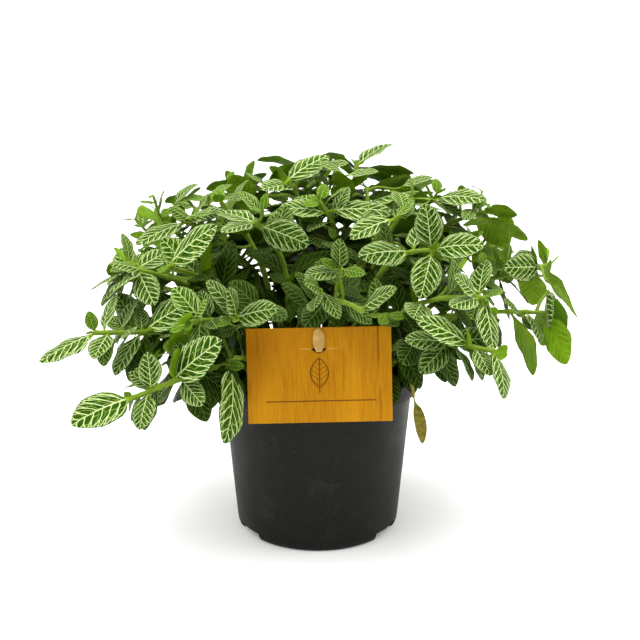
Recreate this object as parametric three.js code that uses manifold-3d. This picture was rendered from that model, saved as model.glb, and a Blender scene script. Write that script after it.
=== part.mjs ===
// Potted nerve plant: a nursery pot filled with soil, leafy stems that stand in it,
// and a printed card held on the pot's rim by a plastic peg.
// Millimetres, +Z up, the viewer stands at -Y. The origin is the middle of the pot's underside.
import * as THREE from 'three';
import { mergeVertices } from 'three/addons/utils/BufferGeometryUtils.js';
import Module from 'manifold-3d';

const wasm = await Module();
wasm.setup();

// Pot
const POT = {
  height: 98,
  rimRadius: 60,
  rimDepth: 11,
  wallTopRadius: 55.3,
  wallFootRadius: 48,
  footRadius: 45,
  cornerHeight: 5,
  wall: 1.4,
  rimWall: 2.2,
  floor: 2.4,
  sides: 32,
};
const UNDERSIDE = { discRadius: 24, footInnerRadius: 39, recess: 2, drainHoles: 6, drainRadius: 3.5, drainSides: 6 };
const NOTCH = { count: 3, firstAzimuth: 60, halfAngle: 14, height: 5, depth: 8 };

// Soil
const SOIL = { level: 84, crown: 1.6, rootDepth: 8, holeRadius: 2.4 };
const GAP = 0.3;

// Card and its peg
const CARD = {
  width: 80,
  height: 53.5,
  thickness: 0.8,
  centreX: 1.2,
  bottomZ: 87,
  lean: 8.6,
  roll: 1.3,
  slitWidth: 9,
  slitHeight: 2.8,
  slitBelowTop: 11.6,
};
const PEG = { stakeWidth: 4, thickness: 1.6, neckWidth: 3, headWidth: 7, headHeight: 12.4, soilRadius: 49 };

// Stems and leaves
const STEM = { radius: 1.75, sides: 4, steps: 6, tries: 40, apart: 5 };
const BLADE = { ridge: 0.5, thickness: 1.1, petiole: 0.13, petioleWidth: 0.12, ratio: 0.29 };
const CLEAR = { leaf: 2.9, stem: 3.3, pot: 1.8, card: 2.6 };
const FRONT_VIEW_TILT = 18.5;
const SEED = 77;

// Each leafy stem by the place of its tip: azimuth (0 is the front, + is to the right),
// reach from the pot's axis, height, then how its tip turns and pitches, how its first pair
// of leaves is rolled, its full leaf length, and the pairs that the growth rule adds to it.
const SHOOTS = {
  left_far: [-66, 135, 137, -15, 4, 0, 30, 3],
  left_low: [-46, 137, 114, -24, -14, 20, 32, 1],
  left_mid: [-75, 106, 165, -10, 12, 0, 28, 3],
  left_broad: [-59, 96, 173, 0, 20, 90, 32, 3],
  left_high: [-111, 83, 177, 10, 15, 0, 30, 3],
  left_back: [-112, 103, 180, -10, 35, 0, 26, 3],
  crown_left: [-66, 39, 189, 0, 40, 45, 32, 4],
  crown_back: [-166, 57, 194, 0, 40, 45, 30, 4],
  crown: [179, 22, 192, 90, 50, 0, 32, 4],
  top: [159, 66, 204, 0, 60, 0, 28, 4],
  top_right: [153, 65, 190, 30, 25, 0, 34, 4],
  right_high: [125, 86, 186, -10, 25, 90, 32, 3],
  rosette: [58, 77, 180, 20, 0, 0, 30, 3],
  inner_right: [81, 46, 190, 20, 40, 90, 28, 4],
  front_sprig: [9, 79, 181, 0, 60, 45, 20, 3],
  right_far: [96, 136, 155, 15, 5, 0, 30, 3],
  right_mid: [53, 113, 161, 30, -4, 0, 28, 3],
  right_low: [46, 130, 139, 30, -5, 0, 28, 1],
  rim_right: [50, 64, 124, -60, 55, 0, 26, 1],
  right_hang: [81, 131, 137, 10, -5, 90, 30, 2],
  front_right: [13, 105, 165, 30, -12, 0, 26, 3],
  front_left: [-24, 108, 159, -30, -10, 45, 28, 1],
  front: [1, 92, 173, 0, 30, 0, 24, 3],
  side_right: [114, 110, 179, -20, 10, 0, 28, 3],
  rim_left: [-34, 88, 124, 34, -5, 0, 26, 0],
  back_1: [150, 104, 180, 10, 20, 30, 30, 3],
  back_2: [-150, 102, 182, -10, 18, 60, 30, 3],
  back_3: [180, 98, 188, 5, 30, 10, 30, 4],
  back_4: [125, 134, 150, 10, 0, 45, 30, 3],
  back_5: [-128, 132, 152, -5, 5, 20, 30, 3],
  back_6: [158, 138, 143, 5, -5, 70, 31, 3],
  back_7: [-160, 138, 148, -8, 0, 40, 31, 3],
  back_8: [-178, 134, 118, 10, -15, 0, 30, 2],
  back_9: [105, 92, 168, 0, 5, 30, 28, 3],
  left_edge: [-92, 116, 151, 5, 12, 50, 27, 3],
  back_10: [140, 138, 116, 0, -20, 15, 30, 2],
  back_11: [-143, 138, 118, -5, -20, 35, 30, 2],
  fill_1: [-30, 34, 158, -20, 45, 10, 24, 1],
  fill_2: [35, 38, 168, 10, 35, 30, 26, 1],
  fill_3: [100, 56, 197, 20, 45, 60, 28, 4],
  fill_4: [-105, 58, 193, 0, 45, 25, 28, 4],
  fill_5: [-42, 104, 150, -10, 0, 40, 27, 3],
  fill_6: [66, 104, 140, 10, -10, 10, 27, 2],
  fill_7: [-84, 112, 124, -10, -15, 30, 28, 3],
  fill_8: [-14, 52, 150, -10, -5, 75, 24, 1],
  back_12: [172, 60, 160, 5, 10, 35, 28, 3],
  back_13: [-125, 70, 158, 5, 10, 15, 28, 3],
  fill_9: [30, 76, 150, 10, 5, 20, 26, 2],
  fill_10: [-60, 72, 150, 0, 10, 60, 27, 2],
  fill_11: [-5, 14, 160, 0, 60, 60, 22, 1],
};

// Leaves set by hand near the tips that show best: distance back from the stem's tip, then how
// far the leaf runs to the right, up and towards the viewer as seen from the front, and the turn
// of its face from the viewer towards the sky (past 90 its underside shows).
const SET_LEAVES = {
  left_far: [
    [2, -30, -16, 12, 60], [1, -3, 12, 4, 0], [9, -16, -12, 13, 45], [6, 5, 22, -11, 55],
    [15, 8, 19, -13, 55], [27, -7, 13, -7, 25], [29, 30, 17, 10, 40], [27, -13, -24, 13, 50],
  ],
  left_low: [
    [1, -31, -14, 18, 35], [10, -11, -19, 10, 30], [11, -1, 21, 11, 20], [24, 28, 23, 17, 30],
    [25, -10, -11, -11, 40], [30, 13, -14, 14, 0], [42, 21, -9, -13, 40],
  ],
  left_mid: [
    [2, 11, -20, 16, 0], [1, 18, 11, -15, 35], [5, -8, 11, -14, 125], [6, -19, -12, 13, 75],
    [4, -13, -4, 15, 45], [2, 8, 15, -14, 50],
  ],
  left_broad: [[1, 28, 22, 17, 45]],
  left_high: [[1, -31, -13, 12, 60], [4, 9, 19, -21, 80], [1, 24, 5, 10, 55]],
  left_back: [[1, -14, 1, -17, 130], [2, 1, 16, -17, 75], [10, 9, 9, -18, 110]],
  crown_left: [[2, 30, -12, 9, 10], [1, -18, -6, 18, 60], [3, -24, 8, -16, 60]],
  crown_back: [[2, 19, 16, -16, 40], [5, -17, 15, -16, 110], [3, -20, -3, 19, 55]],
  crown: [[1, 4, 11, -7, 0], [2, -10, -2, 7, 45], [8, 40, -1, 3, 55], [10, -26, 9, 13, 55]],
  top: [[1, 22, 15, -14, 65], [5, -13, 8, -18, 110]],
  top_right: [[1, 30, 5, -23, 105], [13, 30, 6, 19, 75]],
  right_high: [[1, 29, -2, 18, 55], [2, -17, 5, -22, 115]],
  rosette: [[3, -4, 25, 16, 5], [2, 28, 2, 12, 30], [2, -1, -28, 13, 0], [14, -30, -3, 17, 40], [13, 8, 18, -17, 50]],
  inner_right: [[2, -26, -12, 10, 45], [2, 11, 12, -6, 55]],
  front_sprig: [[1, 0, 16, 12, 30], [1, -11, 5, 7, 50], [4, -19, -2, 11, 45], [1, 13, -3, 8, 40]],
  right_far: [[5, -24, -1, 18, 0], [2, 5, 9, -19, 120], [7, 18, -24, 12, 105], [11, 12, -22, -17, 140]],
  right_mid: [[1, 2, -28, 11, 40], [3, -17, -5, 17, 50], [3, 5, 21, -14, 45], [4, -14, 10, 14, 45], [1, 11, 5, -11, 55]],
  right_low: [[1, 5, -26, 12, 55], [11, 8, -15, 11, 35], [12, -31, 15, 9, 50], [24, 10, -20, 11, 70], [24, -26, 2, 11, 45]],
  rim_right: [[3, -15, 20, 9, 70]],
  right_hang: [[1, 12, -29, 13, 135], [2, 2, -19, -21, 120], [11, 7, -18, 14, 60], [20, 17, -34, 12, 110]],
  front_right: [[1, 18, 11, 15, 55]],
  front_left: [[1, 23, 3, 16, 30], [1, -3, 16, 18, 60], [3, -16, 19, 14, 55]],
  front: [[1, 10, -15, 9, 40], [1, -9, 4, 17, 45], [7, -3, -9, 20, 55]],
  side_right: [[1, 19, -2, 11, 125], [3, 26, -17, -15, 130]],
  rim_left: [[1, 10, 0, 5, 0], [6, 3, -47, 12, 65]],
};

// The withered leaf hangs from the foot of one stem, outside the rim.
const WITHERED = {
  stem: 'right_low',
  back: 84,
  base: [54, -47, 96],
  along: [0.2, -0.1, -1],
  length: 28,
  ratio: 0.13,
  petioleRadius: 0.9,
  rise: 4,
};

// Growth rule, from the tip of a stem backwards: a pair's size, opening and spacing
const PAIR_SIZE = [0.5, 0.88, 1, 0.95, 0.85, 0.8];
const PAIR_OPENING = [52, 68, 76, 82, 86, 88];
const PAIR_SPACING = [9, 16, 21, 22, 22, 22];
// Moves that a leaf tries, in this order, until it is clear of its neighbours
const SWINGS = [0, 10, -10, 20, -20, 32, -32, 45, -45];
const LIFTS = [0, -12, 12, -25, 25];
const SHRINKS = [1, 0.85, 0.7];
const ROOT_SHIFTS = [0, 7, -6, 14];
const ROOT_TURNS = [0, 9, -9, 18, -18, 27, -27, 38, -38];

const V = (x, y, z) => new THREE.Vector3(x, y, z);
const SKY = V(0, 0, 1);
const radians = THREE.MathUtils.degToRad;
const viewTilt = radians(FRONT_VIEW_TILT);
const VIEW = {
  right: V(1, 0, 0),
  up: V(0, Math.sin(viewTilt), Math.cos(viewTilt)),
  toward: V(0, -Math.cos(viewTilt), Math.sin(viewTilt)),
};

// Repeatable random draws between 0 and 1
let drawState = SEED;
function draw() {
  drawState = (drawState * 16807) % 2147483647;
  return drawState / 2147483647;
}

function bearing(azimuth, elevation = 0) {
  const a = radians(azimuth);
  const e = radians(elevation);
  return V(Math.sin(a) * Math.cos(e), -Math.cos(a) * Math.cos(e), Math.sin(e));
}

function mix(...terms) {
  const sum = V(0, 0, 0);
  for (const [vector, share] of terms) sum.addScaledVector(vector, share);
  return sum;
}

function spun(vector, axis, degrees) {
  return vector.clone().applyAxisAngle(axis, radians(degrees));
}

// The part of a vector that is square to a unit direction, as a unit vector
function squareTo(vector, direction) {
  return mix([vector, 1], [direction, -vector.dot(direction)]).normalize();
}

// A stem's centre line: a cubic curve from its root to its tip, measured by arc length.
class StemLine {
  constructor(root, lift, tip, aim, lead) {
    this.curve = new THREE.CubicBezierCurve3(root, mix([root, 1], [lift, 1]), mix([tip, 1], [aim, -lead]), tip);
    this.points = this.curve.getPoints(STEM.tries);
    this.reached = [0];
    for (let i = 1; i <= STEM.tries; i += 1) {
      this.reached.push(this.reached[i - 1] + this.points[i].distanceTo(this.points[i - 1]));
    }
    this.length = this.reached[STEM.tries];
  }

  // The curve's parameter at a distance back from the tip
  back(distance) {
    const want = Math.max(0, this.length - distance);
    for (let i = 0; i < STEM.tries; i += 1) {
      if (this.reached[i + 1] >= want) {
        const part = (want - this.reached[i]) / (this.reached[i + 1] - this.reached[i]);
        return (i + part) / STEM.tries;
      }
    }
    return 1;
  }

  at(t) {
    return this.curve.getPoint(t);
  }

  slope(t) {
    const [p, q, r, s] = [this.curve.v0, this.curve.v1, this.curve.v2, this.curve.v3];
    const u = 1 - t;
    return mix([q, 3 * u * u], [p, -3 * u * u], [r, 6 * u * t], [q, -6 * u * t], [s, 3 * t * t], [r, -3 * t * t])
      .normalize();
  }
}

// Half the blade's width at a share of its length, as a share of its widest
function outline(along) {
  if (along <= BLADE.petiole) return BLADE.petioleWidth;
  if (along >= 1) return 0;
  const t = (along - BLADE.petiole) / (1 - BLADE.petiole);
  const width = Math.sin(Math.PI * t ** 0.86) ** 0.62;
  return along < 0.2 ? Math.max(BLADE.petioleWidth, width) : width;
}

// A leaf's surface: an arched midrib with a blade that cups or folds away from it.
class LeafSurface {
  constructor(base, along, face, length, half, bend, cup, shoot) {
    Object.assign(this, { base, along, face, length, half, cup, shoot });
    this.across = along.clone().cross(face);
    this.bend = radians(bend);
  }

  normal(share) {
    const turn = this.bend * (share - 0.5);
    return mix([this.face, Math.cos(turn)], [this.along, Math.sin(turn)]);
  }

  point(share, side) {
    const start = -this.bend / 2;
    const turn = start + this.bend * share;
    const run = (this.length * (Math.sin(turn) - Math.sin(start))) / this.bend;
    const drop = (this.length * (Math.cos(start) - Math.cos(turn))) / this.bend;
    const width = this.half * outline(share);
    return mix(
      [this.base, 1],
      [this.along, run],
      [this.face, -drop],
      [this.across, side * width],
      [this.normal(share), this.cup * Math.abs(side) ** 1.6 * width],
    );
  }

  // Points about 3 mm apart over the blade, each with its share of the length
  samples() {
    const found = [];
    const rows = Math.max(4, roundHalfEven(this.length / 3.2));
    for (let i = 1; i <= rows; i += 1) {
      const share = i / rows;
      const columns = Math.max(1, Math.ceil((this.half * outline(share)) / 3.4));
      for (let j = -columns; j <= columns; j += 1) found.push({ share, point: this.point(share, j / columns) });
    }
    return found;
  }
}

function roundHalfEven(value) {
  const low = Math.floor(value);
  const rest = value - low;
  if (rest !== 0.5) return Math.round(value);
  return low % 2 === 0 ? low : low + 1;
}

// What is already placed: groups of points, each with its owner and its bounding sphere
const placed = [];

function addGroup(samples, owner, isStem) {
  const centre = mix(...samples.map((s) => [s.point, 1 / samples.length]));
  const radius = Math.max(...samples.map((s) => s.point.distanceTo(centre)));
  placed.push({ samples, owner, isStem, centre, radius });
}

function innerWallRadius(z) {
  return POT.wallFootRadius + ((POT.wallTopRadius - POT.wallFootRadius) * z) / (POT.height - POT.rimDepth) - POT.wall;
}

const CARD_SLOPE = Math.tan(radians(CARD.lean));
const CARD_FRONT_Y = -(POT.rimRadius + GAP + CARD.thickness / 2);

// The card's middle plane leans back over the rim
function cardY(z) {
  return CARD_FRONT_Y + (z - POT.height) * CARD_SLOPE;
}

// How high the viewer sees a level line of the card, along the view's own upright
function cardEdgeSeen(rise) {
  const z = CARD.bottomZ + rise * Math.cos(radians(CARD.lean));
  return V(0, cardY(z), z).dot(VIEW.up);
}

const CARD_SEEN = { low: cardEdgeSeen(0), high: cardEdgeSeen(CARD.height) };

// True where a leaf would hide the card from the viewer
function coversCard(p) {
  if (p.y >= cardY(p.z) || Math.abs(p.x - CARD.centreX) >= CARD.width / 2) return false;
  const rise = p.dot(VIEW.up);
  return rise > CARD_SEEN.low && rise < CARD_SEEN.high;
}

function inHardware(p) {
  const r = Math.hypot(p.x, p.y);
  const nearWall = r > 50 || p.z < SOIL.level + 2;
  if (p.z < POT.height + CLEAR.pot && r < POT.rimRadius + 2 && nearWall) return true;
  return inCardSpace(p, CLEAR.card) || coversCard(p);
}

// True near the card, and near the peg's stake behind it
function inCardSpace(p, room) {
  const height = p.z > CARD.bottomZ - room && p.z < CARD.bottomZ + CARD.height + room;
  if (height && Math.abs(p.x - CARD.centreX) < CARD.width / 2 + room && Math.abs(p.y - cardY(p.z)) < room) return true;
  const behind = p.y > cardY(p.z) && p.y < PEG.thickness - PEG.soilRadius + room;
  return behind && height && Math.abs(p.x - CARD.centreX) < PEG.stakeWidth / 2 + room;
}

function isClear(leaf, samples) {
  if (samples.some((s) => s.share > 0.15 && inHardware(s.point))) return false;
  const centre = mix(...samples.map((s) => [s.point, 1 / samples.length]));
  const radius = Math.max(...samples.map((s) => s.point.distanceTo(centre)));
  for (const group of placed) {
    if (group.centre.distanceTo(centre) >= group.radius + radius + 3.4) continue;
    const own = group.owner === leaf.shoot;
    const limit = (group.isStem ? CLEAR.stem : CLEAR.leaf) ** 2;
    for (const other of group.samples) {
      if (own && group.isStem && other.point.distanceToSquared(leaf.base) <= 16) continue;
      if (own && !group.isStem && other.share <= 0.36) continue;
      for (const mine of samples) {
        if (own && mine.share <= 0.36) continue;
        if (mine.point.distanceToSquared(other.point) < limit) return false;
      }
    }
  }
  return true;
}

// Tries the moves in turn and keeps the first leaf that is clear; past the last it is left out
function placeLeaf(leaves, make) {
  for (const shrink of SHRINKS) {
    for (const lift of LIFTS) {
      for (const swing of SWINGS) {
        const leaf = make(swing, lift, shrink);
        const samples = leaf.samples();
        if (isClear(leaf, samples)) {
          leaves.push(leaf);
          addGroup(samples, leaf.shoot, false);
          return;
        }
      }
    }
  }
}

// A stem's line, with its root moved until the stem is clear of those before it
function growStem(name) {
  const [azimuth, reach, height, turn, pitch] = SHOOTS[name];
  const tip = bearing(azimuth).multiplyScalar(reach).setZ(height);
  const aim = bearing(azimuth + turn, pitch);
  let best = null;
  for (const shift of ROOT_SHIFTS) {
    for (const swing of ROOT_TURNS) {
      const outward = bearing(azimuth + swing);
      const root = outward.clone().multiplyScalar(Math.min(42, 9 + 0.2 * reach + shift));
      root.z = SOIL.level - SOIL.rootDepth;
      const span = root.distanceTo(tip);
      const lift = mix([SKY, span * 0.5], [outward, span * 0.06]);
      const line = new StemLine(root, lift, tip, aim, span * 0.36);
      let room = nearestStem(line.points);
      if (line.points.some(touchesRimOrCard)) room -= STEM.apart;
      if (best === null || (room > best.room + 1e-9 && best.room < STEM.apart)) best = { room, line };
      if (best.room >= STEM.apart) break;
    }
    if (best.room >= STEM.apart) break;
  }
  addGroup(best.line.points.map((point) => ({ share: -1, point })), name, true);
  return best.line;
}

function touchesRimOrCard(p) {
  if (p.z < POT.height + 3.5 && Math.hypot(p.x, p.y) > 48) return true;
  return inCardSpace(p, STEM.radius + 1.4);
}

function nearestStem(points) {
  let nearest = 99;
  for (const group of placed) {
    for (const other of group.samples) {
      for (const p of points) nearest = Math.min(nearest, p.distanceTo(other.point));
    }
  }
  return nearest;
}

function growSetLeaf(name, line, leaves, [back, right, up, toward, turn]) {
  const base = line.at(line.back(back));
  const arch = draw();
  const tint = draw();
  const run = mix([VIEW.right, right], [VIEW.up, up], [VIEW.toward, toward]);
  const length = run.length();
  const along = run.normalize();
  const front = squareTo(VIEW.toward, along);
  const side = along.clone().cross(front).normalize();
  if (side.z <= 0) side.negate();
  const face = mix([front, Math.cos(radians(turn))], [side, Math.sin(radians(turn))]);
  placeLeaf(leaves, (swing, lift, shrink) => {
    const swung = spun(along, face, swing * 0.6);
    const hinge = swung.clone().cross(face).normalize();
    return new LeafSurface(
      base,
      spun(swung, hinge, lift * 0.7),
      spun(face, hinge, lift * 0.7),
      length * shrink,
      length * shrink * BLADE.ratio,
      14 + 26 * arch,
      -0.2 + 0.35 * tint,
      name,
    );
  });
}

// Opposite pairs, each turned a quarter from the one before it
function growPairs(name, line, leaves) {
  const [, , , , , roll, size, pairs] = SHOOTS[name];
  const setByHand = SET_LEAVES[name] ?? [];
  const first = setByHand.length > 0 ? 1 : 0;
  let back = first ? Math.max(...setByHand.map((row) => row[0])) + 0.62 * size : 1.5;
  for (let i = first; i < first + pairs; i += 1) {
    if (line.length - back < 26) break;
    const t = line.back(back);
    const stemward = line.slope(t);
    const base = line.at(t);
    const level = stemward.clone().cross(SKY);
    const flat = level.length() > 0.05 ? level.normalize() : V(1, 0, 0);
    for (const side of [1, -1]) {
      const [r1, r2, r3, r4] = [draw(), draw(), draw(), draw()];
      const out = spun(flat.clone().multiplyScalar(side), stemward, roll + 90 * i + (r1 - 0.5) * 24);
      const opening = PAIR_OPENING[i] + (r2 - 0.5) * 20;
      const length = size * PAIR_SIZE[i] * (0.88 + 0.24 * r3);
      const sky = 0.3 + 0.4 * r1;
      placeLeaf(leaves, (swing, lift, shrink) => {
        const open = radians(opening + lift);
        const along = mix([stemward, Math.cos(open)], [spun(out, stemward, swing), Math.sin(open)]).normalize();
        const square = mix([stemward, 1], [along, -stemward.dot(along)]);
        const upper = mix([SKY, 1], [along, -along.z]);
        const face = squareTo(mix([square, 1 - sky], [upper, sky]).normalize(), along);
        const full = length * shrink;
        return new LeafSurface(base, along, face, full, full * (0.28 + 0.04 * r4), 18 + 36 * r2, -0.22 + 0.4 * r4, name);
      });
    }
    back += ((PAIR_SPACING[i] * size) / 30) * (0.85 + 0.3 * draw());
  }
}

// A closed solid from a geometry, its vertices merged by position
function solid(geometry) {
  let bare = geometry.clone();
  bare.deleteAttribute('normal');
  bare.deleteAttribute('uv');
  bare = mergeVertices(bare, 1e-4);
  const triVerts = Uint32Array.from(bare.index.array);
  const vertProperties = Float32Array.from(bare.attributes.position.array);
  return new wasm.Manifold(new wasm.Mesh({ numProp: 3, vertProperties, triVerts }));
}

// A closed solid from corner points and triangles that face out
function facets(points, triangles) {
  const vertProperties = Float32Array.from(points.flatMap((p) => [p.x, p.y, p.z]));
  return new wasm.Manifold(new wasm.Mesh({ numProp: 3, vertProperties, triVerts: Uint32Array.from(triangles.flat()) }));
}

function namedMesh(name, body, colour, roughness) {
  const mesh = body.getMesh();
  const geometry = new THREE.BufferGeometry();
  const position = new Float32Array(mesh.numVert * 3);
  for (let i = 0; i < mesh.numVert; i += 1) {
    for (let k = 0; k < 3; k += 1) position[3 * i + k] = mesh.vertProperties[mesh.numProp * i + k];
  }
  geometry.setAttribute('position', new THREE.BufferAttribute(position, 3));
  geometry.setIndex(Array.from(mesh.triVerts));
  geometry.computeVertexNormals();
  const named = new THREE.Mesh(geometry, new THREE.MeshStandardMaterial({ color: colour, roughness, metalness: 0 }));
  named.name = name;
  return named;
}

// A turned solid about the upright axis, from [radius, height] pairs that start and end on it
function turned(profile, sides) {
  const geometry = new THREE.LatheGeometry(profile.map(([r, z]) => new THREE.Vector2(r, z)), sides);
  return solid(geometry.rotateX(Math.PI / 2));
}

function polygon(radius, sides) {
  const shape = new THREE.Shape();
  for (let i = 0; i < sides; i += 1) {
    const a = (2 * Math.PI * i) / sides;
    if (i === 0) shape.moveTo(radius, 0);
    else shape.lineTo(radius * Math.cos(a), radius * Math.sin(a));
  }
  shape.closePath();
  return shape;
}

function tube(curve, radius, sides, steps) {
  return solid(new THREE.ExtrudeGeometry(polygon(radius, sides), { steps, extrudePath: curve, bevelEnabled: false }));
}

// Nursery pot: tapered wall, rolled rim band, notched foot ring and drain holes
function makePot() {
  const rimUnder = POT.height - POT.rimDepth;
  const floorTop = UNDERSIDE.recess + POT.floor;
  const profile = [
    [0, 0],
    [UNDERSIDE.discRadius, 0],
    [UNDERSIDE.discRadius + 1.5, UNDERSIDE.recess],
    [UNDERSIDE.footInnerRadius, UNDERSIDE.recess],
    [UNDERSIDE.footInnerRadius + 1, 0],
    [POT.footRadius, 0],
    [POT.footRadius + 2, 1.4],
    [POT.wallFootRadius, POT.cornerHeight],
    [POT.wallTopRadius, rimUnder - 3],
    [POT.wallTopRadius + 0.6, rimUnder - 1.4],
    [POT.rimRadius - 1, rimUnder],
    [POT.rimRadius, rimUnder + 2],
    [POT.rimRadius, POT.height - 1],
    [POT.rimRadius - 1, POT.height],
    [POT.rimRadius - POT.rimWall, POT.height],
    [POT.rimRadius - POT.rimWall - 1, rimUnder + 1.5],
    [innerWallRadius(rimUnder), rimUnder],
    [innerWallRadius(POT.cornerHeight), POT.cornerHeight + 1.5],
    [innerWallRadius(0) - 1.5, floorTop],
    [0, floorTop],
  ];
  let pot = turned(profile, POT.sides);
  const wedge = new THREE.Shape();
  const outer = POT.wallFootRadius + 4;
  const inner = POT.wallFootRadius - NOTCH.depth;
  const half = radians(NOTCH.halfAngle);
  wedge.moveTo(inner * Math.cos(half), -inner * Math.sin(half));
  wedge.lineTo(outer * Math.cos(half), -outer * Math.sin(half));
  wedge.lineTo(outer * Math.cos(half), outer * Math.sin(half));
  wedge.lineTo(inner * Math.cos(half), inner * Math.sin(half));
  wedge.closePath();
  for (let i = 0; i < NOTCH.count; i += 1) {
    const cut = new THREE.ExtrudeGeometry(wedge, { depth: NOTCH.height + 1, bevelEnabled: false });
    cut.translate(0, 0, -1);
    cut.rotateZ(radians(NOTCH.firstAzimuth + (360 / NOTCH.count) * i - 90));
    pot = pot.subtract(solid(cut));
  }
  const drainRing = (UNDERSIDE.discRadius + UNDERSIDE.footInnerRadius) / 2 + 1;
  for (let i = 0; i < UNDERSIDE.drainHoles; i += 1) {
    const hole = new THREE.CylinderGeometry(UNDERSIDE.drainRadius, UNDERSIDE.drainRadius, 3 * floorTop, UNDERSIDE.drainSides);
    const a = (2 * Math.PI * i) / UNDERSIDE.drainHoles;
    hole.rotateX(Math.PI / 2).translate(drainRing * Math.cos(a), drainRing * Math.sin(a), 0);
    pot = pot.subtract(solid(hole));
  }
  return pot;
}

// Soil: fills the pot to just under the rim, with a plain hole for each stem and for the peg
function makeSoil(lines) {
  const floorTop = UNDERSIDE.recess + POT.floor + GAP;
  const profile = [
    [0, floorTop],
    [innerWallRadius(0) - 2.2, floorTop],
    [innerWallRadius(POT.cornerHeight) - GAP, POT.cornerHeight + 2],
    [innerWallRadius(SOIL.level) - GAP, SOIL.level - 1],
    [innerWallRadius(SOIL.level) - 3, SOIL.level],
    [20, SOIL.level + SOIL.crown],
    [0, SOIL.level + SOIL.crown],
  ];
  let soil = turned(profile, POT.sides);
  for (const line of lines) {
    const foot = line.curve.getPointAt(0);
    const next = line.curve.getPointAt(1 / STEM.steps);
    const up = mix([next, 1], [foot, -1]).normalize();
    const path = new THREE.LineCurve3(mix([foot, 1], [up, -GAP]), next);
    soil = soil.subtract(tube(path, SOIL.holeRadius, STEM.sides, 1));
  }
  return soil.subtract(makeStake(GAP));
}

// Blade of a leaf: three-cornered sections between a root sunk in the stem and a tip. The
// midrib is the corner that stands out, above a blade whose edges droop and below a cupped one.
function makeBlade(leaf, thickness, stations) {
  const points = [mix([leaf.base, 1], [leaf.along, -1])];
  const droops = leaf.cup < 0;
  for (const share of stations) {
    const sag = Math.abs(leaf.cup) * leaf.half * outline(share);
    const lift = Math.max(BLADE.ridge, thickness - sag) * (droops ? 1 : -1);
    const midrib = mix([leaf.point(share, 0), 1], [leaf.normal(share), lift]);
    const left = leaf.point(share, -1);
    const right = leaf.point(share, 1);
    points.push(...(droops ? [left, midrib, right] : [right, midrib, left]));
  }
  points.push(leaf.point(1, 0));
  const last = points.length - 1;
  const triangles = [];
  for (let k = 0; k < 3; k += 1) {
    const next = (k + 1) % 3;
    triangles.push([0, 1 + next, 1 + k]);
    for (let ring = 0; ring < stations.length - 1; ring += 1) {
      const a = 1 + 3 * ring + k;
      const b = 1 + 3 * ring + next;
      // Both halves of the creased face are split alike, towards the midrib
      if (k === 0) triangles.push([a, b, b + 3], [a, b + 3, a + 3]);
      else triangles.push([a, b, a + 3], [b, b + 3, a + 3]);
    }
    triangles.push([last - 3 + k, last - 3 + next, last]);
  }
  return facets(points, triangles);
}

const FULL_STATIONS = [0.24, 0.52, 0.82];
const SMALL_STATIONS = [0.3, 0.72];
const SMALL_LEAF = 29;

// The largest piece of a solid: loose scraps and sealed hollows left by the joins are dropped
function mainBody(body) {
  const pieces = body.decompose();
  return pieces.reduce((most, piece) => (piece.volume() > most.volume() ? piece : most));
}

function makeLeafyStem(name, line, leaves) {
  let stem = tube(line.curve, STEM.radius, STEM.sides, STEM.steps);
  for (const leaf of leaves) {
    stem = stem.add(makeBlade(leaf, BLADE.thickness, leaf.length < SMALL_LEAF ? SMALL_STATIONS : FULL_STATIONS));
  }
  if (name === WITHERED.stem) stem = stem.add(makeWithered(line));
  return mainBody(stem);
}

function witheredLeaf() {
  const base = V(...WITHERED.base);
  const along = V(...WITHERED.along).normalize();
  const face = squareTo(V(0.4, -1, 0), along);
  return new LeafSurface(base, along, face, WITHERED.length, WITHERED.length * WITHERED.ratio, 20, 0.5, WITHERED.stem);
}

function makeWithered(line) {
  const start = line.at(line.back(WITHERED.back));
  const end = V(...WITHERED.base);
  const over = mix([start, 0.35], [end, 0.65]).setZ(start.z + WITHERED.rise);
  const down = end.clone().setZ(end.z + 8);
  const petiole = tube(new THREE.CubicBezierCurve3(start, over, down, end), WITHERED.petioleRadius, 4, 6);
  return petiole.add(makeBlade(witheredLeaf(), 1.1, FULL_STATIONS));
}

// Card: a thin sheet with a half-moon slit, standing across the rim and leaning back
function cardFrame() {
  const frame = new THREE.Object3D();
  frame.rotation.set(radians(90 - CARD.lean), 0, 0);
  frame.rotation.order = 'XYZ';
  frame.position.set(CARD.centreX, cardY(CARD.bottomZ), CARD.bottomZ);
  frame.updateMatrix();
  return frame.matrix;
}

// Places a flat outline, drawn with its foot at the card's bottom edge, on the card's plane
function onCard(shape, depth, lift) {
  const sheet = new THREE.ExtrudeGeometry(shape, { depth, bevelEnabled: false, curveSegments: 6 });
  sheet.translate(0, 0, lift - depth / 2);
  sheet.translate(0, -CARD.height / 2, 0).rotateZ(radians(CARD.roll)).translate(0, CARD.height / 2, 0);
  return solid(sheet.applyMatrix4(cardFrame()));
}

function makeCard() {
  const sheet = new THREE.Shape();
  sheet.moveTo(-CARD.width / 2, 0);
  sheet.lineTo(CARD.width / 2, 0);
  sheet.lineTo(CARD.width / 2, CARD.height);
  sheet.lineTo(-CARD.width / 2, CARD.height);
  sheet.closePath();
  const slit = new THREE.Path();
  const slitZ = CARD.height - CARD.slitBelowTop;
  slit.moveTo(CARD.slitWidth / 2, slitZ);
  slit.quadraticCurveTo(0, slitZ - 2 * CARD.slitHeight, -CARD.slitWidth / 2, slitZ);
  slit.closePath();
  sheet.holes.push(slit);
  return onCard(sheet, CARD.thickness, 0);
}

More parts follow.
